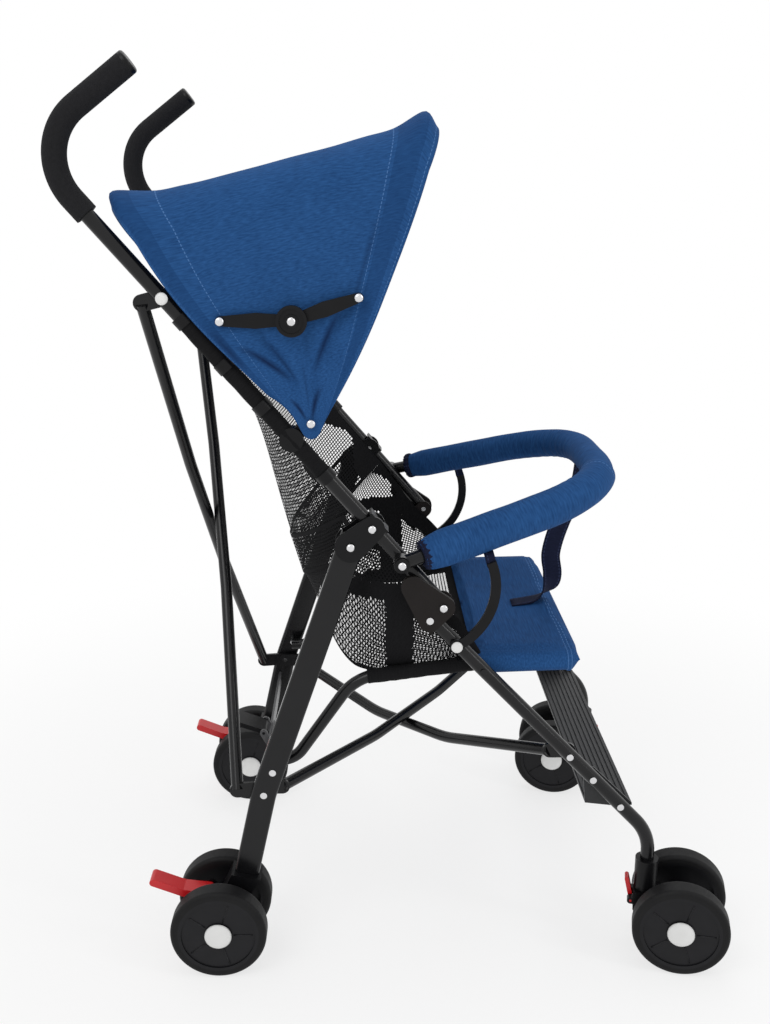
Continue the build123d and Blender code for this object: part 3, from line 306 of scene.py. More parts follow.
def woven(name, dark, light, thread, rows, bands=(), crease_shades=()):
    """Cloth with a streaky weave and stitches, and with painted shade in bands and in fold valleys
    at UV places.
    """
    made, shader, place, flat = begin(name)
    across = flat.node("ShaderNodeSeparateXYZ", {}, {0: flat})
    along = Shade(across.tree, across.socket.node.outputs[1])
    fine = flat.noise(WEAVE_SCALE, WEAVE_STREAK, 2.0)
    slub = (fine - 0.5) * WEAVE_CONTRAST + 0.5
    cloud = place.noise(CLOUD_SCALE)
    colour = (slub * (1.0 - CLOUD_SHARE) + cloud * CLOUD_SHARE).mix(dark, light)
    # Painted shade in bands across the cloth.
    for axis, low, high in bands:
        here = across if axis == "u" else along
        colour = ((here > low) * (here < high) * SHADE_BAND_TONE).mix(colour, dark)
    for axis, at in rows:
        pair = (across, along) if axis == "u" else (along, across)
        colour = dashes(*pair, at).mix(colour, thread)
    # Painted shade along the hood's fold valleys, darkest along the middle of each.
    for start, end, half_width, strength in crease_shades:
        painted_shade = crease_shade(across, from_tip(along), start, end, half_width)
        colour = (painted_shade * strength).mix(colour, CREASE_SHADE)
    place.plug(shader.inputs["Base Color"], colour)
    place.plug(shader.inputs["Roughness"], 0.75 + 0.15 * fine)
    place.plug(shader.inputs["Normal"], fine.bump(0.5, WEAVE_DEPTH))
    shader.inputs["Specular IOR Level"].default_value = 0.1
    return made


HOOD_ROWS = [("u", HOOD_CUT[0] * share) for share in (0.012, 0.135, 0.862, 0.985)]
# Painted shade in bands beside the two bows, where the cloth curves in to meet them.
HOOD_SHADE_BANDS = [("u", HOOD_CUT[0] * low, HOOD_CUT[0] * high)
              for low, high in ((0.03, 0.085), (0.875, 0.955))]
# Painted shade in the hood's fold valleys near its tips: start and end as (across, distance from
# the nearer tip) in UV, half width and strength.
HOOD_CREASE_SHADES = [
    ((0.044, 0.126), (0.146, 0.07), 0.022, 0.95), ((0.108, 0.13), (0.17, 0.066), 0.014, 0.6),
    ((0.304, 0.146), (0.236, 0.074), 0.017, 0.85), ((0.262, 0.06), (0.204, 0.02), 0.024, 0.95),
    ((0.112, 0.052), (0.16, 0.022), 0.022, 0.95), ((0.024, 0.155), (0.022, 0.09), 0.014, 0.6),
    ((0.346, 0.25), (0.33, 0.13), 0.009, 0.4), ((0.2, 0.09), (0.196, 0.03), 0.008, 0.35)]
NAVY = (rgb(0.006, 0.036, 0.122), rgb(0.027, 0.106, 0.295), rgb(0.07, 0.17, 0.38))
BLACK = (rgb(0.004, 0.004, 0.0045), rgb(0.011, 0.011, 0.012), rgb(0.05, 0.05, 0.055))
STRAP_NAVY = (rgb(0.006, 0.008, 0.022), rgb(0.014, 0.018, 0.045), rgb(0.03, 0.04, 0.09))
DENIM = woven("hood denim", *NAVY, HOOD_ROWS, HOOD_SHADE_BANDS, HOOD_CREASE_SHADES)
# On the pad, the dark band just before the stitch row is painted shade along the edge where the
# sleeve laps over itself.
PAD_DENIM = woven("pad denim", *NAVY, [("v", 0.393)], [("v", 0.3825, 0.3855)])
FLAP_DENIM = woven("flap denim", *NAVY, [("v", 0.114), ("v", 0.119)])
NET = woven("black mesh", *BLACK, [])
BINDING = woven("black binding", *BLACK, [("u", 0.006)])
WEBBING = woven("navy webbing", *STRAP_NAVY, [("u", 0.003), ("u", 0.021)])
print(len(bpy.data.materials), "materials")

# %% [markdown]
# Every CAD piece gets its finish by name. A name such as front_hubs matches both sides.

# %% Finish the CAD pieces
FINISHES = {
    PAINT: ("main_tube", "rear_leg_left", "rear_leg_right", "front_leg_left", "front_leg_right",
            "rear_cross", "under_cross", "seat_rail", "bumper_tube", "hood_front_bow",
            "hood_rear_bow"),
    FOAM: ("handle_grip",),
    PLASTIC: ("handle_end_caps", "rear_leg_brackets", "rear_forks", "caster", "hood_clips",
              "hood_stay", "lock_pedal", "cloth_clips", "bumper_arcs", "bumper_pins"),
    KNUCKLE: ("knuckles",),
    GREY: ("footrest",),
    BRACE: ("lock_brace_bars",),
    STEEL: ("frame_rivets", "front_leg_rivets", "rear_leg_rivets", "front_axle", "rear_axle",
            "lock_brace_pin"),
    RED: ("brake_lever", "swivel_lock"),
    RUBBER: ("front_tyres", "rear_tyres"),
    HUB: ("front_hubs", "rear_hubs"),
    DENIM: ("hood_canopy", "bumper_pad", "seat_flap"),
    NET: ("seat_back", "seat_base", "seat_sides"),
}
for finish, starts in FINISHES.items():
    for name, node in frame["nodes"].items():
        if name.startswith(starts):
            node.data.materials.clear()
            node.data.materials.append(finish)
bare = [name for name, node in frame["nodes"].items() if not node.data.materials]
print("pieces without a finish:", bare)

# %% [markdown]
# Sewn pieces start as a flat grid, the way cloth starts as a flat cut. A function then says where
# each point of the cut ends up. Turned pieces start as half an outline and are spun round.

# %% Ways to make a piece
STRAND = 1.5
CLOTH_THICK = 1.2
WEBBING_THICK = 1.8
TURN_STEPS = 40


def settle(name, bm, finish):
    """Turn a bmesh in metres into a smooth-shaded object at the origin."""
    bmesh.ops.recalc_face_normals(bm, faces=bm.faces)
    mesh = bpy.data.meshes.new(name)
    bm.to_mesh(mesh)
    bm.free()
    mesh.materials.append(finish)
    mesh.shade_smooth()
    made = bpy.data.objects.new(name, mesh)
    bpy.context.scene.collection.objects.link(made)
    print("made", name, "with", len(mesh.polygons), "faces")
    return made


def grid(place, cells, cut):
    """A cut of cloth, with each point moved to its place in millimetres."""
    bm = bmesh.new()
    bm.loops.layers.uv.new("UVMap")
    bmesh.ops.create_grid(bm, x_segments=cells[0], y_segments=cells[1], size=0.5, calc_uvs=True)
    layer = bm.loops.layers.uv.active
    for face in bm.faces:
        for loop in face.loops:
            loop[layer].uv = (loop[layer].uv.x * cut[0], loop[layer].uv.y * cut[1])
    for vert in bm.verts:
        vert.co = place(vert.co.x + 0.5, vert.co.y + 0.5) * MM
    bmesh.ops.remove_doubles(bm, verts=bm.verts, dist=1e-5)
    return bm


def merged(parts):
    """Several bmeshes as one."""
    whole = bmesh.new()
    for part in parts:
        mesh = bpy.data.meshes.new("part")
        part.to_mesh(mesh)
        part.free()
        whole.from_mesh(mesh)
        bpy.data.meshes.remove(mesh)
    return whole


def net(place, cells, cut, is_open):
    """A cut of mesh: each open cell gets a hole, so that only strands of it are left."""
    bm = grid(place, cells, cut)
    layer = bm.loops.layers.uv.active
    holes = []
    for face in bm.faces:
        middle = sum((loop[layer].uv for loop in face.loops), Vector((0.0, 0.0))) / len(face.loops)
        if is_open(middle.x / cut[0], middle.y / cut[1]):
            holes.append(face)
    bmesh.ops.inset_individual(bm, faces=holes, thickness=STRAND * MM / 2, use_even_offset=True)
    bmesh.ops.delete(bm, geom=holes, context="FACES")
    return bm


def turned(outline):
    """A piece spun about its Z axis from (radius, height) in millimetres."""
    bm = bmesh.new()
    line = [bm.verts.new((radius * MM, 0.0, height * MM)) for radius, height in outline]
    edges = [bm.edges.new(pair) for pair in zip(line, line[1:])]
    bmesh.ops.spin(bm, geom=line + edges, cent=(0, 0, 0), axis=(0, 0, 1), angle=2 * pi,
                   steps=TURN_STEPS, use_merge=True)
    bmesh.ops.remove_doubles(bm, verts=bm.verts, dist=1e-6)
    return bm


def facing(bm, point, direction):
    """Stand a turned piece at a point in millimetres, facing a direction."""
    turn = direction.to_track_quat("Z", "Y").to_matrix().to_4x4()
    bmesh.ops.transform(bm, matrix=Matrix.Translation(point * MM) @ turn, verts=bm.verts)
    return bm


def thicken(piece, thickness, offset=-1.0):
    """Give a sheet its thickness in millimetres, on its inner side unless told otherwise."""
    layer = piece.modifiers.new("thickness", "SOLIDIFY")
    layer.thickness = thickness * MM
    layer.offset = offset


print("makers are ready")

# %% [markdown]
# The hood is one arch of denim sewn over two wire bows that share a pivot. The cloth is tight, so
# its roof runs straight from bow to bow and rises only where a bow lifts it. Both hems turn over a
# bow and run a little past it, and all the cloth gathers in a small rounded tip at the pivot.

# %% Hood canopy: its lines
HOOD = PIVOT["hood_close"].copy()
HOOD.y = 0.0
HOOD_HALF_W = 211.0
HOOD_CORNER = 45.0
HOOD_TIP = 17.0
TIP_NARROWING = 0.68
TIP_START = 205.0
TIP_SWEEP = 150.0
ROOF_POLAR = {0.0: (132.6, 297.0), 0.05: (130.6, 306.0), 0.14: (123.2, 281.5),
              0.86: (73.9, 307.6), 0.945: (69.2, 331.5), 1.0: (66.2, 324.0)}
BOW_SHARES = (0.05, 0.945)
BOW_SPREAD = 0.03
BOW_LIFT = 2.5
ROOF_SAG = 9.0
ROOF_RIPPLE = 1.5
SIDE_PUFF = 0.4
SIDE_RIPPLE = 0.6
REAR_SLACK = 17.0
TIP_PINCH = 4.5
PINCH_END = 0.2
FRONT_SLACK = 12.0
CORNER_HOLD = 0.4
FOLDS = [((-50, 96), (-16, 44), 6.0, -5.0), ((34, 118), (8, 62), 6.0, -5.0),
         ((-8, 96), (-3, 24), 6.0, -4.0), ((6, 64), (1, 22), 4.5, -4.0),
         ((-22, 50), (-8, 22), 4.5, -4.0), ((-100, 96), (-30, 40), 5.0, 0.8),
         ((70, 226), (34, 100), 8.0, -2.6), ((-24, 204), (-60, 262), 7.0, -2.4),
         ((30, 190), (14, 262), 7.0, -2.0)]


def polar(angle, length):
    """A step in the side view, at an angle in degrees above straight ahead."""
    return Vector((cos(radians(angle)), 0.0, sin(radians(angle)))) * length


ROOF = {share: polar(*row) for share, row in ROOF_POLAR.items()}
for share in (0.22, 0.5, 0.78):
    ROOF[share] = ROOF[0.14].lerp(ROOF[0.86], (share - 0.14) / 0.72)


def fold_height(x, z):
    """How far the folds push the side out, or pull it in, at a place measured from the pivot."""
    total = 0.0
    spot = Vector((x, z))
    for start, end, width, height in FOLDS:
        a, b = Vector(start), Vector(end)
        share = clamp((spot - a).dot(b - a) / (b - a).length_squared)
        away = (spot - a.lerp(b, share)).length
        total += height * hump(away, 0.0, width) * sin(pi * (0.15 + 0.7 * share))
    return total


def canopy_place(u, v):
    """From the right tip over the roof to the left tip, and from the rear hem to the front hem."""
    side = -1.0 if v < 0.5 else 1.0
    foot = polar(TIP_START + TIP_SWEEP * u, HOOD_TIP)
    foot.x *= TIP_NARROWING
    roof = lookup(ROOF, u)
    upward = (roof - foot).normalized()
    outward = Vector((-upward.z, 0.0, upward.x))
    straight = (roof - foot).length - HOOD_CORNER
    bend = pi / 2 * HOOD_CORNER
    run = (min(v, 1.0 - v) * 2.0) * (straight + bend + HOOD_HALF_W - HOOD_CORNER)
    bow_lift = BOW_LIFT * sum(hump(u, share, BOW_SPREAD) for share in BOW_SHARES)
    if run < straight:
        share = run / straight
        rear = REAR_SLACK * share * sin(pi * share)
        rear -= TIP_PINCH * sin(pi * min(share / PINCH_END, 1.0))
        front = FRONT_SLACK * (1.0 - (1.0 - min(share * 2.0, 1.0)) ** 2)
        front *= 1.0 - CORNER_HOLD * share ** 6
        spot = foot + upward * run + outward * (rear * (1.0 - u) ** 3 - front * u ** 3)
        puff = SIDE_PUFF * sin(pi * u) * sin(pi * share) + 0.5 * bow_lift * min(share * 4.0, 1.0)
        puff += fold_height(spot.x, spot.z) + SIDE_RIPPLE * noise.noise(spot * 0.03)
        return HOOD + spot + Vector((0.0, side * (HOOD_HALF_W + puff), 0.0))
    turn = min((run - straight) / HOOD_CORNER, pi / 2)
    flat_run = max(run - straight - bend, 0.0)
    y = HOOD_HALF_W - HOOD_CORNER * (1.0 - cos(turn)) - flat_run
    spot = roof + upward * (HOOD_CORNER * (sin(turn) - 1.0) + bow_lift)
    spot -= outward * FRONT_SLACK * (1.0 - CORNER_HOLD) * u ** 3 * cos(turn)
    sag = ROOF_SAG * sin(pi * u) * (1.0 - (y / HOOD_HALF_W) ** 2)
    sag -= ROOF_RIPPLE * noise.noise(Vector((u * 6.0, y * 0.02, 0.0)))
    return HOOD + spot + Vector((0.0, side * y, -sag))


# %% Hood canopy: the cloth
canopy = settle("hood_cloth", grid(canopy_place, (96, 240), HOOD_CUT), DENIM)
thicken(canopy, CLOTH_THICK, offset=0.0)
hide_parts("hood_canopy")
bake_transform(canopy)

# %% [markdown]
# The bar in front of the child is a bent tube inside a denim sleeve stuffed with wadding. Elastic
# gathers the sleeve at both ends. We lay a tube of cloth round the bar, creased where the bar
# bends, and a cloth simulation blows it up a little.

# %% Padded bar: its path
BAR_HALF_W = 217.0
BAR_FRONT_HALF_W = 138.0
BAR_REACH = 251.0
BAR_RISE = 15.0
BAR_CORNER = 140.0
BAR_START = 23.0
PAD_CUT = (0.12, 0.62)
PAD_R = 18.6
PAD_LAP = 0.62
LAP_STEP = 2.4
PAD_BENDS = (0.33, 0.67)
BEND_SPREAD = 0.08
BEND_CREASE = 0.9
PLEATS = 15
PLEAT_DEPTH = 0.8
GATHER_LENGTH = 26.0
GATHER_SHARE = 0.66
ARM_STEPS, BEND_STEPS, FRONT_STEPS = 12, 10, 4
BAR = PIVOT["fold_bumper"].copy()
BAR.y = 0.0
BAR_AHEAD = polar(BAR_RISE, 1.0)
BAR_UP = polar(BAR_RISE + 90.0, 1.0)


def bar_line():
    """The bar's middle line, flat: an arm, a bend, the front, a bend and an arm."""
    toe = (BAR_HALF_W - BAR_FRONT_HALF_W) / BAR_REACH
    start = Vector((BAR_START, BAR_HALF_W - toe * BAR_START))
    corner = Vector((BAR_REACH, BAR_FRONT_HALF_W))
    arm = (corner - start).normalized()
    inward = Vector((0.0, -1.0))
    reach = BAR_CORNER * tan((pi - arm.angle(-inward)) / 2)
    a, b = corner - arm * reach, corner + inward * reach
    half = [start.lerp(a, i / ARM_STEPS) for i in range(ARM_STEPS)]
    for i in range(BEND_STEPS + 1):
        t = i / BEND_STEPS
        half.append(a.lerp(corner, t).lerp(corner.lerp(b, t), t))
    half += [Vector((BAR_REACH, b.y * (1 - i / FRONT_STEPS))) for i in range(1, FRONT_STEPS + 1)]
    return half + [Vector((p.x, -p.y)) for p in reversed(half[:-1])]


BAR_LINE = bar_line()
LENGTHS = [0.0]
for before, after in zip(BAR_LINE, BAR_LINE[1:]):
    LENGTHS.append(LENGTHS[-1] + (after - before).length)
BAR_TABLE = {length: Vector((p.x, p.y, 0.0)) for length, p in zip(LENGTHS, BAR_LINE)}
BAR_LENGTH = LENGTHS[-1]
print("padded bar is", round(BAR_LENGTH), "mm long")


def bar_place(u, v, radius):
    """A point on a sleeve round the bar."""
    run = v * BAR_LENGTH
    spot = lookup(BAR_TABLE, run)
    ahead = lookup(BAR_TABLE, run + 2.0) - lookup(BAR_TABLE, run - 2.0)
    aside = Vector((ahead.y, -ahead.x, 0.0)).normalized()
    turn = 2 * pi * u
    flat = spot + aside * (radius * cos(turn))
    return BAR + BAR_AHEAD * flat.x + Vector((0.0, flat.y, 0.0)) + BAR_UP * (radius * sin(turn))


def gathered(u, end):
    """The sleeve's radius near an end, where elastic pulls it into pleats."""
    share = min(end / GATHER_LENGTH, 1.0)
    radius = PAD_R * (GATHER_SHARE + (1.0 - GATHER_SHARE) * share ** 0.6)
    return radius + PLEAT_DEPTH * sin(2 * pi * PLEATS * u) * (1.0 - share)


def pad_radius(u, v):
    """Full in the middle, gathered at the ends, creased on the inside of each bend."""
    radius = gathered(u, min(v, 1.0 - v) * BAR_LENGTH)
    if v > PAD_LAP:
        radius += LAP_STEP
    inside = max(cos(2 * pi * u), 0.0)
    bend = hump(min(abs(v - at) for at in PAD_BENDS), 0.0, BEND_SPREAD)
    around = Vector((0.0, cos(2 * pi * u), sin(2 * pi * u)))
    waver = 2.0 * noise.noise(around + Vector((v * 9.0, 0.0, 0.0)))
    ripple = BEND_CREASE * sin(v * BAR_LENGTH * 0.42 + waver)
    rumple = 0.7 * noise.noise(around + Vector((v * 16.0, 0.0, 0.0)))
    return radius + ripple * inside * bend + rumple


# %% Padded bar: the sleeve
SIM_STEPS = 20


def inflate(piece, pressure, cap, free=lambda spot: 1.0):
    """Round out a padded piece with a cloth simulation, by up to a cap in millimetres.

    The function free gives the share of the cap that a place may move by.
    """
    rest = piece.data.copy()
    cloth = piece.modifiers.new("stuffing", "CLOTH")
    cloth.settings.use_pressure = True
    cloth.settings.uniform_pressure_force = pressure
    cloth.settings.effector_weights.gravity = 0.0
    cloth.settings.mass = 0.3
    cloth.settings.tension_stiffness = 40.0
    cloth.settings.compression_stiffness = 40.0
    cloth.settings.bending_stiffness = 0.4
    cloth.point_cache.frame_start = 1
    cloth.point_cache.frame_end = SIM_STEPS
    scene = bpy.context.scene
    for step in range(1, SIM_STEPS + 1):
        scene.frame_set(step)
    shaped = piece.evaluated_get(bpy.context.evaluated_depsgraph_get()).to_mesh()
    furthest = 0.0
    for vert, old, new in zip(piece.data.vertices, rest.vertices, shaped.vertices):
        move = new.co - old.co
        furthest = max(furthest, move.length)
        limit = cap * MM * free(old.co / MM)
        if move.length > limit:
            move = move.normalized() * limit
        vert.co = old.co + move
    piece.modifiers.remove(cloth)
    scene.frame_set(1)
    bpy.data.meshes.remove(rest)
    print(piece.name, "swelled by up to", round(furthest / MM, 1), "mm")


def pad_place(u, v):
    return bar_place(u, v, pad_radius(u, v))


pad = settle("bar_pad", grid(pad_place, (44, 190), PAD_CUT), PAD_DENIM)
inflate(pad, pressure=4.0, cap=5.0)
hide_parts("bumper_pad")
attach(pad, "bumper")

# %% [markdown]
# Elastic bands close the sleeve's ends, and a webbing strap runs from the bar down between the
# child's legs to the seat's front. Webbing is woven flat, about an inch wide.

# %% Elastic ends and strap
BAND_CUT = (0.08, 0.016)
BAND_W = 11.0
BAND_PAST_END = 2.0
BAND_STANDS = 2.6
STRAP_CUT = (0.024, 0.2)
STRAP_W = 24.0
STRAP_TURN = (0.72, 0.94)
STRAP = {0.0: drawn(280, 556), 0.12: drawn(276, 532), 0.35: drawn(254, 482),
         0.55: drawn(243, 440), 0.72: drawn(246, 410), 0.82: drawn(240, 396, -6.0),
         0.9: drawn(224, 382.5, -10.0), 1.0: drawn(192, 376.5, -12.0)}


def band_place(side):
    """An elastic band round one end of the sleeve."""
    def place(u, v):
        end = BAND_W * v - BAND_PAST_END
        radius = gathered(u, max(end, 0.0)) + BAND_STANDS * sin(pi * (0.25 + 0.6 * v))
        share = end / BAR_LENGTH
        return bar_place(u, share if side < 0 else 1.0 - share, radius)
    return place


def strap_place(u, v):
    """The strap shows its flat side to the left and right, and turns to lie flat on the seat."""
    spot = lookup(STRAP, v)
    along = (lookup(STRAP, v + 0.01) - lookup(STRAP, v - 0.01)).normalized()
    aside = Vector((-along.z, 0.0, along.x))
    lie = smooth((v - STRAP_TURN[0]) / (STRAP_TURN[1] - STRAP_TURN[0]))
    width = aside.lerp(Vector((0.0, 1.0, 0.0)), lie).normalized()
    return spot + width * ((u - 0.5) * STRAP_W)


bands = merged([grid(band_place(side), (90, 8), BAND_CUT) for side in SIDES])
band = settle("elastic_ends", bands, WEBBING)
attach(band, "bumper")
strap = settle("crotch_strap", grid(strap_place, (10, 60), STRAP_CUT), WEBBING)
thicken(strap, WEBBING_THICK)
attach(strap, "bumper")
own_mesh(strap)

# %% [markdown]
# The curved arcs under the bar end in a short webbing tab that is sewn to the sleeve. Without it
# the bar could lift off them.

# %% Tabs on the arcs
TAB_CUT = (0.011, 0.024)
TAB_W = 11.0
TAB_AT = 94.0
TAB_LINE = {0.0: Vector((0.0, 194.0, -17.5)), 0.5: Vector((0.0, 204.0, -22.5)),
            1.0: Vector((0.0, 207.4, -33.0))}


def tab_place(side):
    """A tab on one side, from the sleeve's underside down to the arc."""
    def place(u, v):
        spot = lookup(TAB_LINE, v)
        ahead = BAR_AHEAD * (TAB_AT + (u - 0.5) * TAB_W)
        return BAR + ahead + BAR_UP * spot.z + Vector((0.0, side * spot.y, 0.0))
    return place


tab_cloth = merged([grid(tab_place(side), (6, 12), TAB_CUT) for side in SIDES])
tabs = settle("arc_tabs", tab_cloth, WEBBING)
thicken(tabs, CLOTH_THICK)
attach(tabs, "bumper")

# %% [markdown]
# The seat is polyester mesh, knitted with real holes, so it breathes and lets light through. We cut
# a hole in every cell of a grid and keep the cells closed where a band of cloth is sewn on.

# %% Back of the seat
BACK_HALF_W = 187.0
BACK_STATIONS = (22.0, 350.0)
BACK_DEPTH = {22.0: 7.0, 102.0: 20.0, 178.0: 49.0, 262.0: 91.0, 350.0: 133.0}
BACK_SHARE = {0.0: 1.0, 0.25: 0.97, 0.62: 0.62, 0.85: 0.26, 1.0: 0.0}
BACK_CUT = (0.45, 0.35)
BACK_RIPPLE = 2.0
SCALLOP_PITCH = 96.0
BINDING_LEAST = 0.018
BINDING_SWELL = 0.055
BACK_HEMS = (0.03, 0.985)


def sling(across, station):
    """A point of the slung cloth, with across from -1 at the right tube to 1 at the left."""
    depth = lookup(BACK_DEPTH, station) * lookup(BACK_SHARE, abs(across))
    return on_main(station, -depth, across * BACK_HALF_W)


def back_station(v):
    """The station of a row of the back, from its top hem to its lower hem."""
    return BACK_STATIONS[0] + (BACK_STATIONS[1] - BACK_STATIONS[0]) * v


def back_place(u, v):
    spot = sling(2.0 * u - 1.0, back_station(v))
    return spot + OUT * BACK_RIPPLE * noise.noise(spot * 0.012)


def scallop(station):
    """How far the binding reaches in from a tube, in wide arcs."""
    return sin(pi * station / SCALLOP_PITCH) ** 2


def back_open(u, v):
    """Closed in scallops along the tubes and across both hems."""
    binding = BINDING_LEAST + BINDING_SWELL * scallop(back_station(v))
    return 0.5 - abs(u - 0.5) > binding and BACK_HEMS[0] < v < BACK_HEMS[1]


back = settle("seat_back_mesh", net(back_place, (112, 88), BACK_CUT, back_open), NET)
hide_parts("seat_back")
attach(back, "frame")
tuple(on_main(180.0) * MM)
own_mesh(back)

# %% [markdown]
# Below the back the cloth turns into a bucket: a floor between the rails and a wall on each side up
# to the main tube. One function gives the whole bucket, so that its pieces meet at their seams.

# %% Shape of the bucket
FLOOR = {0.0: drawn(-66, 424), 0.2: drawn(-42, 386), 0.4: drawn(-4, 351),
         0.7: drawn(62, 345), 1.0: drawn(134, 367)}
RIM = {0.0: on_main(350.0, 0.0, 187.0), 0.35: on_main(395.0, -4.0, 188.0),
       0.65: on_main(430.0, -6.0, 187.0), 0.85: drawn(112, 416, 180.0), 1.0: drawn(136, 377, 174.0)}
FLOOR_SHARE = 0.6
FLOOR_HALF_W = 165.0
FLOOR_CURL = 4.0
WALL_BULGE = 7.0
BACK_TURN = 0.4


def bucket(across, v):
    """A point of the bucket, with across from -1 to 1 and v from the back to the front."""
    share = abs(across)
    spot = lookup(FLOOR, v)
    if share < FLOOR_SHARE:
        y = share / FLOOR_SHARE * FLOOR_HALF_W
        spot = spot + Vector((0.0, y, FLOOR_CURL * (share / FLOOR_SHARE) ** 4))
    else:
        climb = (share - FLOOR_SHARE) / (1.0 - FLOOR_SHARE)
        foot = spot + Vector((0.0, FLOOR_HALF_W, FLOOR_CURL))
        spot = foot.lerp(lookup(RIM, v), climb)
        spot.y += WALL_BULGE * sin(pi * climb) * smooth(v * 4.0)
    spot.y *= -1.0 if across < 0.0 else 1.0
    turn = min(v / BACK_TURN, 1.0)
    return sling(across, BACK_STATIONS[1]).lerp(spot, turn * (2.0 - turn))


# %% Side walls of the seat
WALL_CUT = (0.2, 0.2)
WALL_LAP = 0.02
UPRIGHT_BAND = (27.0, 58.0)
LEVEL_BAND = (446.0, 465.0)
RIM_RUN = 120.0
RIM_AT, RIM_SWELL = 0.95, 0.2
WALL_SEAM = 0.06


def wall_place(side):
    """One wall, which laps a little over the floor's edge."""
    start = FLOOR_SHARE - WALL_LAP
    return lambda u, v: bucket(side * (start + (1.0 - start) * u), v)


def wall_open(u, v):
    """Closed round the rim, in a level band and in an upright band below it."""
    spot = wall_place(1)(u, v) - drawn(0.0, 0.0)
    upright = UPRIGHT_BAND[0] < spot.x < UPRIGHT_BAND[1] and spot.z < LEVEL_BAND[0]
    level = LEVEL_BAND[0] < spot.z < LEVEL_BAND[1]
    rim = RIM_AT - RIM_SWELL * scallop(BACK_STATIONS[1] + RIM_RUN * v)
    return WALL_SEAM < u < rim and v < RIM_AT and not upright and not level


walls = merged([net(wall_place(side), (36, 52), WALL_CUT, wall_open) for side in SIDES])
wall = settle("seat_side_mesh", walls, NET)
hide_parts("seat_sides")
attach(wall, "seat_rails")

# %% Floor of the seat
SEAT_CUT = (0.33, 0.26)


def seat_place(u, v):
    return bucket((2.0 * u - 1.0) * FLOOR_SHARE, v)


def seat_open(u, v):
    """Closed along the seams with both walls and under the flap."""
    return 0.03 < u < 0.97 and v < 0.94


seat = settle("seat_mesh", net(seat_place, (84, 64), SEAT_CUT, seat_open), NET)
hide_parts("seat_base")
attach(seat, "seat_rails")

# %% [markdown]
# A second layer of mesh laps over the back's lower hem from outside. When the frame folds, the
# floor slides down the back, and the band keeps the seam covered.

# %% Band over the seam
LAP_CUT = (0.46, 0.056)
LAP_SHARE = 0.15
LAP_GAP = 2.0


def lap_place(u, v):
    """Just outside the back, along the last part of it."""
    return back_place(0.05 + 0.9 * u, 1.0 - LAP_SHARE * (1.0 - v)) - OUT * LAP_GAP


def lap_open(u, v):
    """Closed round the band's own hem."""
    return 0.02 < u < 0.98 and 0.1 < v < 0.9


lap = settle("seat_hem_band", net(lap_place, (104, 12), LAP_CUT, lap_open), NET)
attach(lap, "seat_rails")

# %% [markdown]
# The seat's front edge is a denim flap, thinly padded so that it is soft behind the knees. Its
# corners are rounded, and two seams run along it.

# %% Front flap
FLAP_CUT = (0.72, 0.13)
FLAP_START = drawn(128, 365)
FLAP_END = drawn(251, 367)
FLAP_LINE = [(0, 9), (90, 8.8), (150, 8.8), (168, 9.6), (175, 10.2), (183, 7.4), (186.2, 0),
             (184, -8.0), (176, -12), (166, -9), (158, 0), (90, 2), (0, 2)]
FLAP_LOOP = FLAP_LINE + [(-y, z) for y, z in reversed(FLAP_LINE[1:-1])]
FLAP_TABLE = {i / len(FLAP_LOOP): Vector((0.0, *FLAP_LOOP[i % len(FLAP_LOOP)]))
              for i in range(len(FLAP_LOOP) + 1)}
FLAP_SEAMS = (-62.0, 62.0)
SEAM_DIP, SEAM_SPREAD = 1.4, 3.0
HEM_DIP, HEM_AT, HEM_SPREAD = 1.2, 0.9, 0.02
FLAP_EASE = (0.04, 0.07)
FLAP_SAG, FLAP_SAG_HALF_W = 5.0, 165.0
FLAP_MIDDLE = 5.0
RAIL_Y, RAIL_EASE = 150.0, 18.0
FLAP_CORNER, CORNER_LENGTH = 0.05, 0.12


def flap_place(u, v):
    """The flap cut square to the rails: flat on top, and wrapped round both rails at its sides."""
    spot = FLAP_START.lerp(FLAP_END, v)
    ring = lookup(FLAP_TABLE, u)
    end = min(v / FLAP_EASE[0], (1.0 - v) / FLAP_EASE[1], 1.0)
    dip = 0.0
    if ring.z > 5.0:
        dip = sum(SEAM_DIP * hump(ring.y, at, SEAM_SPREAD) for at in FLAP_SEAMS)
    dip += HEM_DIP * hump(v, HEM_AT, HEM_SPREAD)
    sag = FLAP_SAG * sin(pi * v) * max(1.0 - (ring.y / FLAP_SAG_HALF_W) ** 2, 0.0)
    middle = FLAP_MIDDLE * (1.0 - smooth((abs(ring.y) - RAIL_Y) / RAIL_EASE))
    height = middle + (ring.z - middle - dip) * max(end, 0.0) ** 0.5
    y = ring.y * (1.0 - FLAP_CORNER * smooth(1.0 - (1.0 - v) / CORNER_LENGTH))
    return spot + Vector((0.0, y, height - sag))


def flap_free(spot):
    """Nothing at the sewn edges across the flap, and 1 between them."""
    length = FLAP_END - FLAP_START
    share = (spot - FLAP_START).dot(length) / length.length_squared
    return clamp(min(share / 0.06, (1.0 - share) / 0.1))


flap_cloth = grid(flap_place, (150, 44), FLAP_CUT)
flap = settle("seat_flap_cloth", flap_cloth, FLAP_DENIM)
inflate(flap, pressure=1.2, cap=5.0, free=flap_free)
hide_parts("seat_flap")
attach(flap, "seat_rails")

# %% [markdown]
# The seat hangs from sleeves of black cloth that slide over the tubes before the frame is riveted.
# A sleeve is a tube a little wider than the steel, so it wrinkles round its length.

# %% Sleeves on the tubes
SLEEVE_ROW = 0.006
SLEEVE_WRINKLE = 0.7


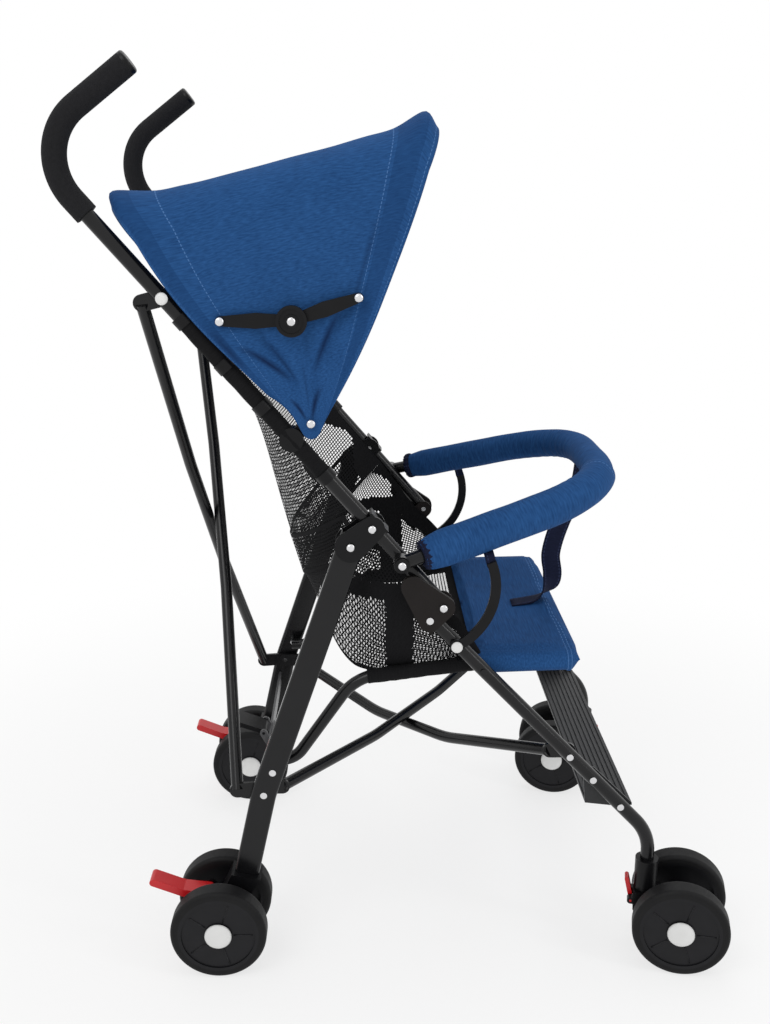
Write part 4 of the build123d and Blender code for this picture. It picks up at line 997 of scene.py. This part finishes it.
def sleeve_place(side, start, end, radius):
    """A sleeve round a straight run of tube on one side."""
    along = (end - start).normalized()
    upward = Vector((-along.z, 0.0, along.x))

    def place(u, v):
        turn = 2 * pi * u
        spot = start.lerp(end, v)
        spot.y = side * start.y
        wrinkle = SLEEVE_WRINKLE * noise.noise(Vector((cos(turn), sin(turn), v * 14.0 + side)))
        return spot + (upward * cos(turn) + Vector((0.0, sin(turn), 0.0))) * (radius + wrinkle)
    return place


def sleeves(name, start, end, radius, body):
    """A pair of sleeves, one on each side."""
    length = (end - start).length * MM
    cells = (20, max(int(length / SLEEVE_ROW), 8))
    bm = merged([grid(sleeve_place(side, start, end, radius), cells, (0.06, length))
                 for side in SIDES])
    made = settle(name, bm, BINDING)
    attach(made, body)


sleeves("main_tube_sleeves", on_main(26.0, y=200.0), on_main(256.0, y=200.0), 9.2, "frame")
sleeves("rail_sleeves", drawn(6, 347.8, 175.0), drawn(130, 363.5, 175.0), 8.6, "seat_rails")

# %% [markdown]
# Rivets are closed with a dome, and white snap caps cover the ends of some pins and axles. These
# are turned shapes, so we spin half an outline about its axis.

# %% Rivet domes
DOME = [(4.6, 0.0), (4.6, 0.5), (4.0, 1.4), (2.6, 2.1), (0.0, 2.4)]
CAP = [(6.4, 0.0), (6.4, 1.0), (5.6, 2.2), (3.4, 3.0), (0.0, 3.3)]
BRACKET_STATION = 324.8
BRACKET_FACE = 213.1
STAY_START = 109.0
STAY_REACH = 140.0


def domes(name, outline, finish, body, spots):
    """Turned heads on both sides of the stroller, at (place, distance from the middle)."""
    parts = []
    for spot, y in spots:
        for side in SIDES:
            face = Vector((spot.x, side * y, spot.z))
            parts.append(facing(turned(outline), face, Vector((0.0, side, 0.0))))
    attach(settle(name, merged(parts), finish), body)


domes("frame_rivet_domes", DOME, STEEL, "frame",
      [(on_main(BRACKET_STATION), BRACKET_FACE), (KNEE, 216.1), (HOOD, 215.1)])
domes("bar_pin_rivets", DOME, STEEL, "frame", [(BAR, 227.9)])
domes("leg_rivet_domes", DOME, STEEL, "rear_legs", [(PIVOT["fold"], BRACKET_FACE)])
domes("cross_caps", CAP, WHITE, "rear_cross", [(TOP, 209.6)])
domes("arc_caps", CAP, WHITE, "front_legs", [(PIVOT["fold_bumper_arcs"], 214.0)])
domes("front_stay_rivets", DOME, STEEL, "hood_stay_front",
      [(HOOD + polar(99.2, STAY_START), 228.5), (HOOD + polar(68.7, STAY_REACH), 221.6)])
domes("rear_stay_rivets", DOME, STEEL, "hood_stay_rear",
      [(HOOD + polar(130.4, STAY_REACH), 218.1)])

# %% Wheel caps
HUB_CAP = [(15.6, 0.0), (15.6, 1.2), (14.2, 2.6), (9.0, 3.6), (0.0, 4.0)]
CAP_FACE = 49.0


def on_wheels(trim, finish, make, face):
    """The same trim on both faces of every wheel pair, at a distance from its middle."""
    for place in ("front", "rear"):
        for hand in ("right", "left"):
            joint = f"{place}_wheels_{hand}_spin"
            parts = [make(PIVOT[joint] + AXIS[joint] * face * side, AXIS[joint] * side)
                     for side in SIDES]
            made = settle(f"{place}_{hand}_{trim}", merged(parts), finish)
            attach(made, f"{place}_wheels_{hand}")


def hub_cap(point, direction):
    return facing(turned(HUB_CAP), point, direction)


on_wheels("hub_caps", WHITE, hub_cap, CAP_FACE)

# %% [markdown]
# A moulded hub has low ribs on its face, which stiffen the thin disc. Each is a long flat box, and
# five of them stand round the cap.

# %% Hub ribs
RIB_SIZE = (22.0, 1.6, 1.0)
RIB_RADIUS = 29.0
RIB_FACE = 47.6
RIB_COUNT = 5


def ribs(point, direction):
    """Ribs round one wheel face, at a point in millimetres."""
    parts = []
    for i in range(RIB_COUNT):
        turn = Matrix.Rotation(2 * pi * i / RIB_COUNT, 3, "Z")
        bm = bmesh.new()
        bmesh.ops.create_cube(bm, size=MM)
        bmesh.ops.scale(bm, vec=RIB_SIZE, verts=bm.verts)
        bmesh.ops.translate(bm, vec=(RIB_RADIUS * MM, 0.0, 0.0), verts=bm.verts)
        bmesh.ops.rotate(bm, cent=(0.0, 0.0, 0.0), matrix=turn, verts=bm.verts)
        parts.append(facing(bm, point, direction))
    return merged(parts)


on_wheels("hub_ribs", HUB, ribs, RIB_FACE)

# %% [markdown]
# A product picture is lit by large soft lamps over a pale floor that fades to white. The camera
# stands beside the stroller at about waist height and looks slightly down.

# %% Floor, light and camera
GROUND_HALF = 12.0
GROUND_DROP = 0.0005
FADE = (0.5, 1.3)
FADE_START = 0.72
SKY_LIGHT = 0.6
bm = bmesh.new()
bmesh.ops.create_grid(bm, x_segments=1, y_segments=1, size=GROUND_HALF)
bmesh.ops.translate(bm, verts=bm.verts, vec=(0.0, 0.0, -GROUND_DROP))
floor_finish, shader, place, _ = begin("pale floor")
shader.inputs["Base Color"].default_value = rgb(0.95, 0.95, 0.95)
shader.inputs["Roughness"].default_value = 0.8
shader.inputs["Specular IOR Level"].default_value = 0.1
reach = place.node("ShaderNodeVectorMath", {"operation": "LENGTH"}, {0: place}, 1)
far = place.node("ShaderNodeMapRange", {"interpolation_type": "SMOOTHSTEP"},
                 {0: reach, 1: FADE[0], 2: FADE[1], 3: FADE_START})
white = place.node("ShaderNodeEmission", {}, {"Strength": 1.0})
lit = Shade(place.tree, shader.outputs[0])
cover = place.node("ShaderNodeMixShader", {}, {0: far, 1: lit, 2: white})
place.plug(place.tree.nodes["Material Output"].inputs["Surface"], cover)
floor = settle("floor", bm, floor_finish)

world = bpy.data.worlds.new("studio")
bpy.context.scene.world = world
world.use_nodes = True
sky = world.node_tree.nodes["Background"]
path = world.node_tree.nodes.new("ShaderNodeLightPath")
seen, glossy, through = (Shade(world.node_tree, path.outputs[f"Is {kind} Ray"])
                         for kind in ("Camera", "Glossy", "Transmission"))
shown = seen.math("MINIMUM", seen + glossy + through, 1.0)
seen.plug(sky.inputs["Strength"], SKY_LIGHT + (1.0 - SKY_LIGHT) * shown)
sky.inputs["Color"].default_value = rgb(1.0, 1.0, 1.0)


def lamp(name, place, size, power):
    """A soft rectangular lamp that faces the middle of the stroller."""
    data = bpy.data.lights.new(name, "AREA")
    data.shape = "RECTANGLE"
    data.size, data.size_y = size
    data.energy = power
    made = bpy.data.objects.new(name, data)
    made.location = place
    made.rotation_euler = (MIDDLE - Vector(place)).to_track_quat("-Z", "Y").to_euler()
    bpy.context.scene.collection.objects.link(made)
    print("lit", name)


MIDDLE = Vector((0.0, 0.0, 0.5))
lamp("key", (-1.3, -1.7, 2.3), (1.4, 1.4), 17.0)
lamp("fill", (2.0, -1.2, 1.6), (0.3, 1.6), 9.0)
lamp("top", (0.0, 0.6, 2.8), (2.0, 2.0), 15.0)

CAMERA_PLACE = (-0.06485, -1.367, 0.882)
CAMERA_PITCH = 15.8
CAMERA_YAW = 1.25
SENSOR = 24.0
FOCAL_SHARE = 1120.0 / 1024.0
lens = bpy.data.cameras.new("camera")
lens.sensor_fit = "VERTICAL"
lens.sensor_height = SENSOR
lens.lens = SENSOR * FOCAL_SHARE
camera = bpy.data.objects.new("camera", lens)
camera.location = CAMERA_PLACE
camera.rotation_euler = (radians(90.0 - CAMERA_PITCH), 0.0, radians(-CAMERA_YAW))
bpy.context.scene.collection.objects.link(camera)
bpy.context.scene.camera = camera
bpy.context.scene.view_settings.view_transform = "Standard"

# %% Hand over
bpy.context.view_layer.update()
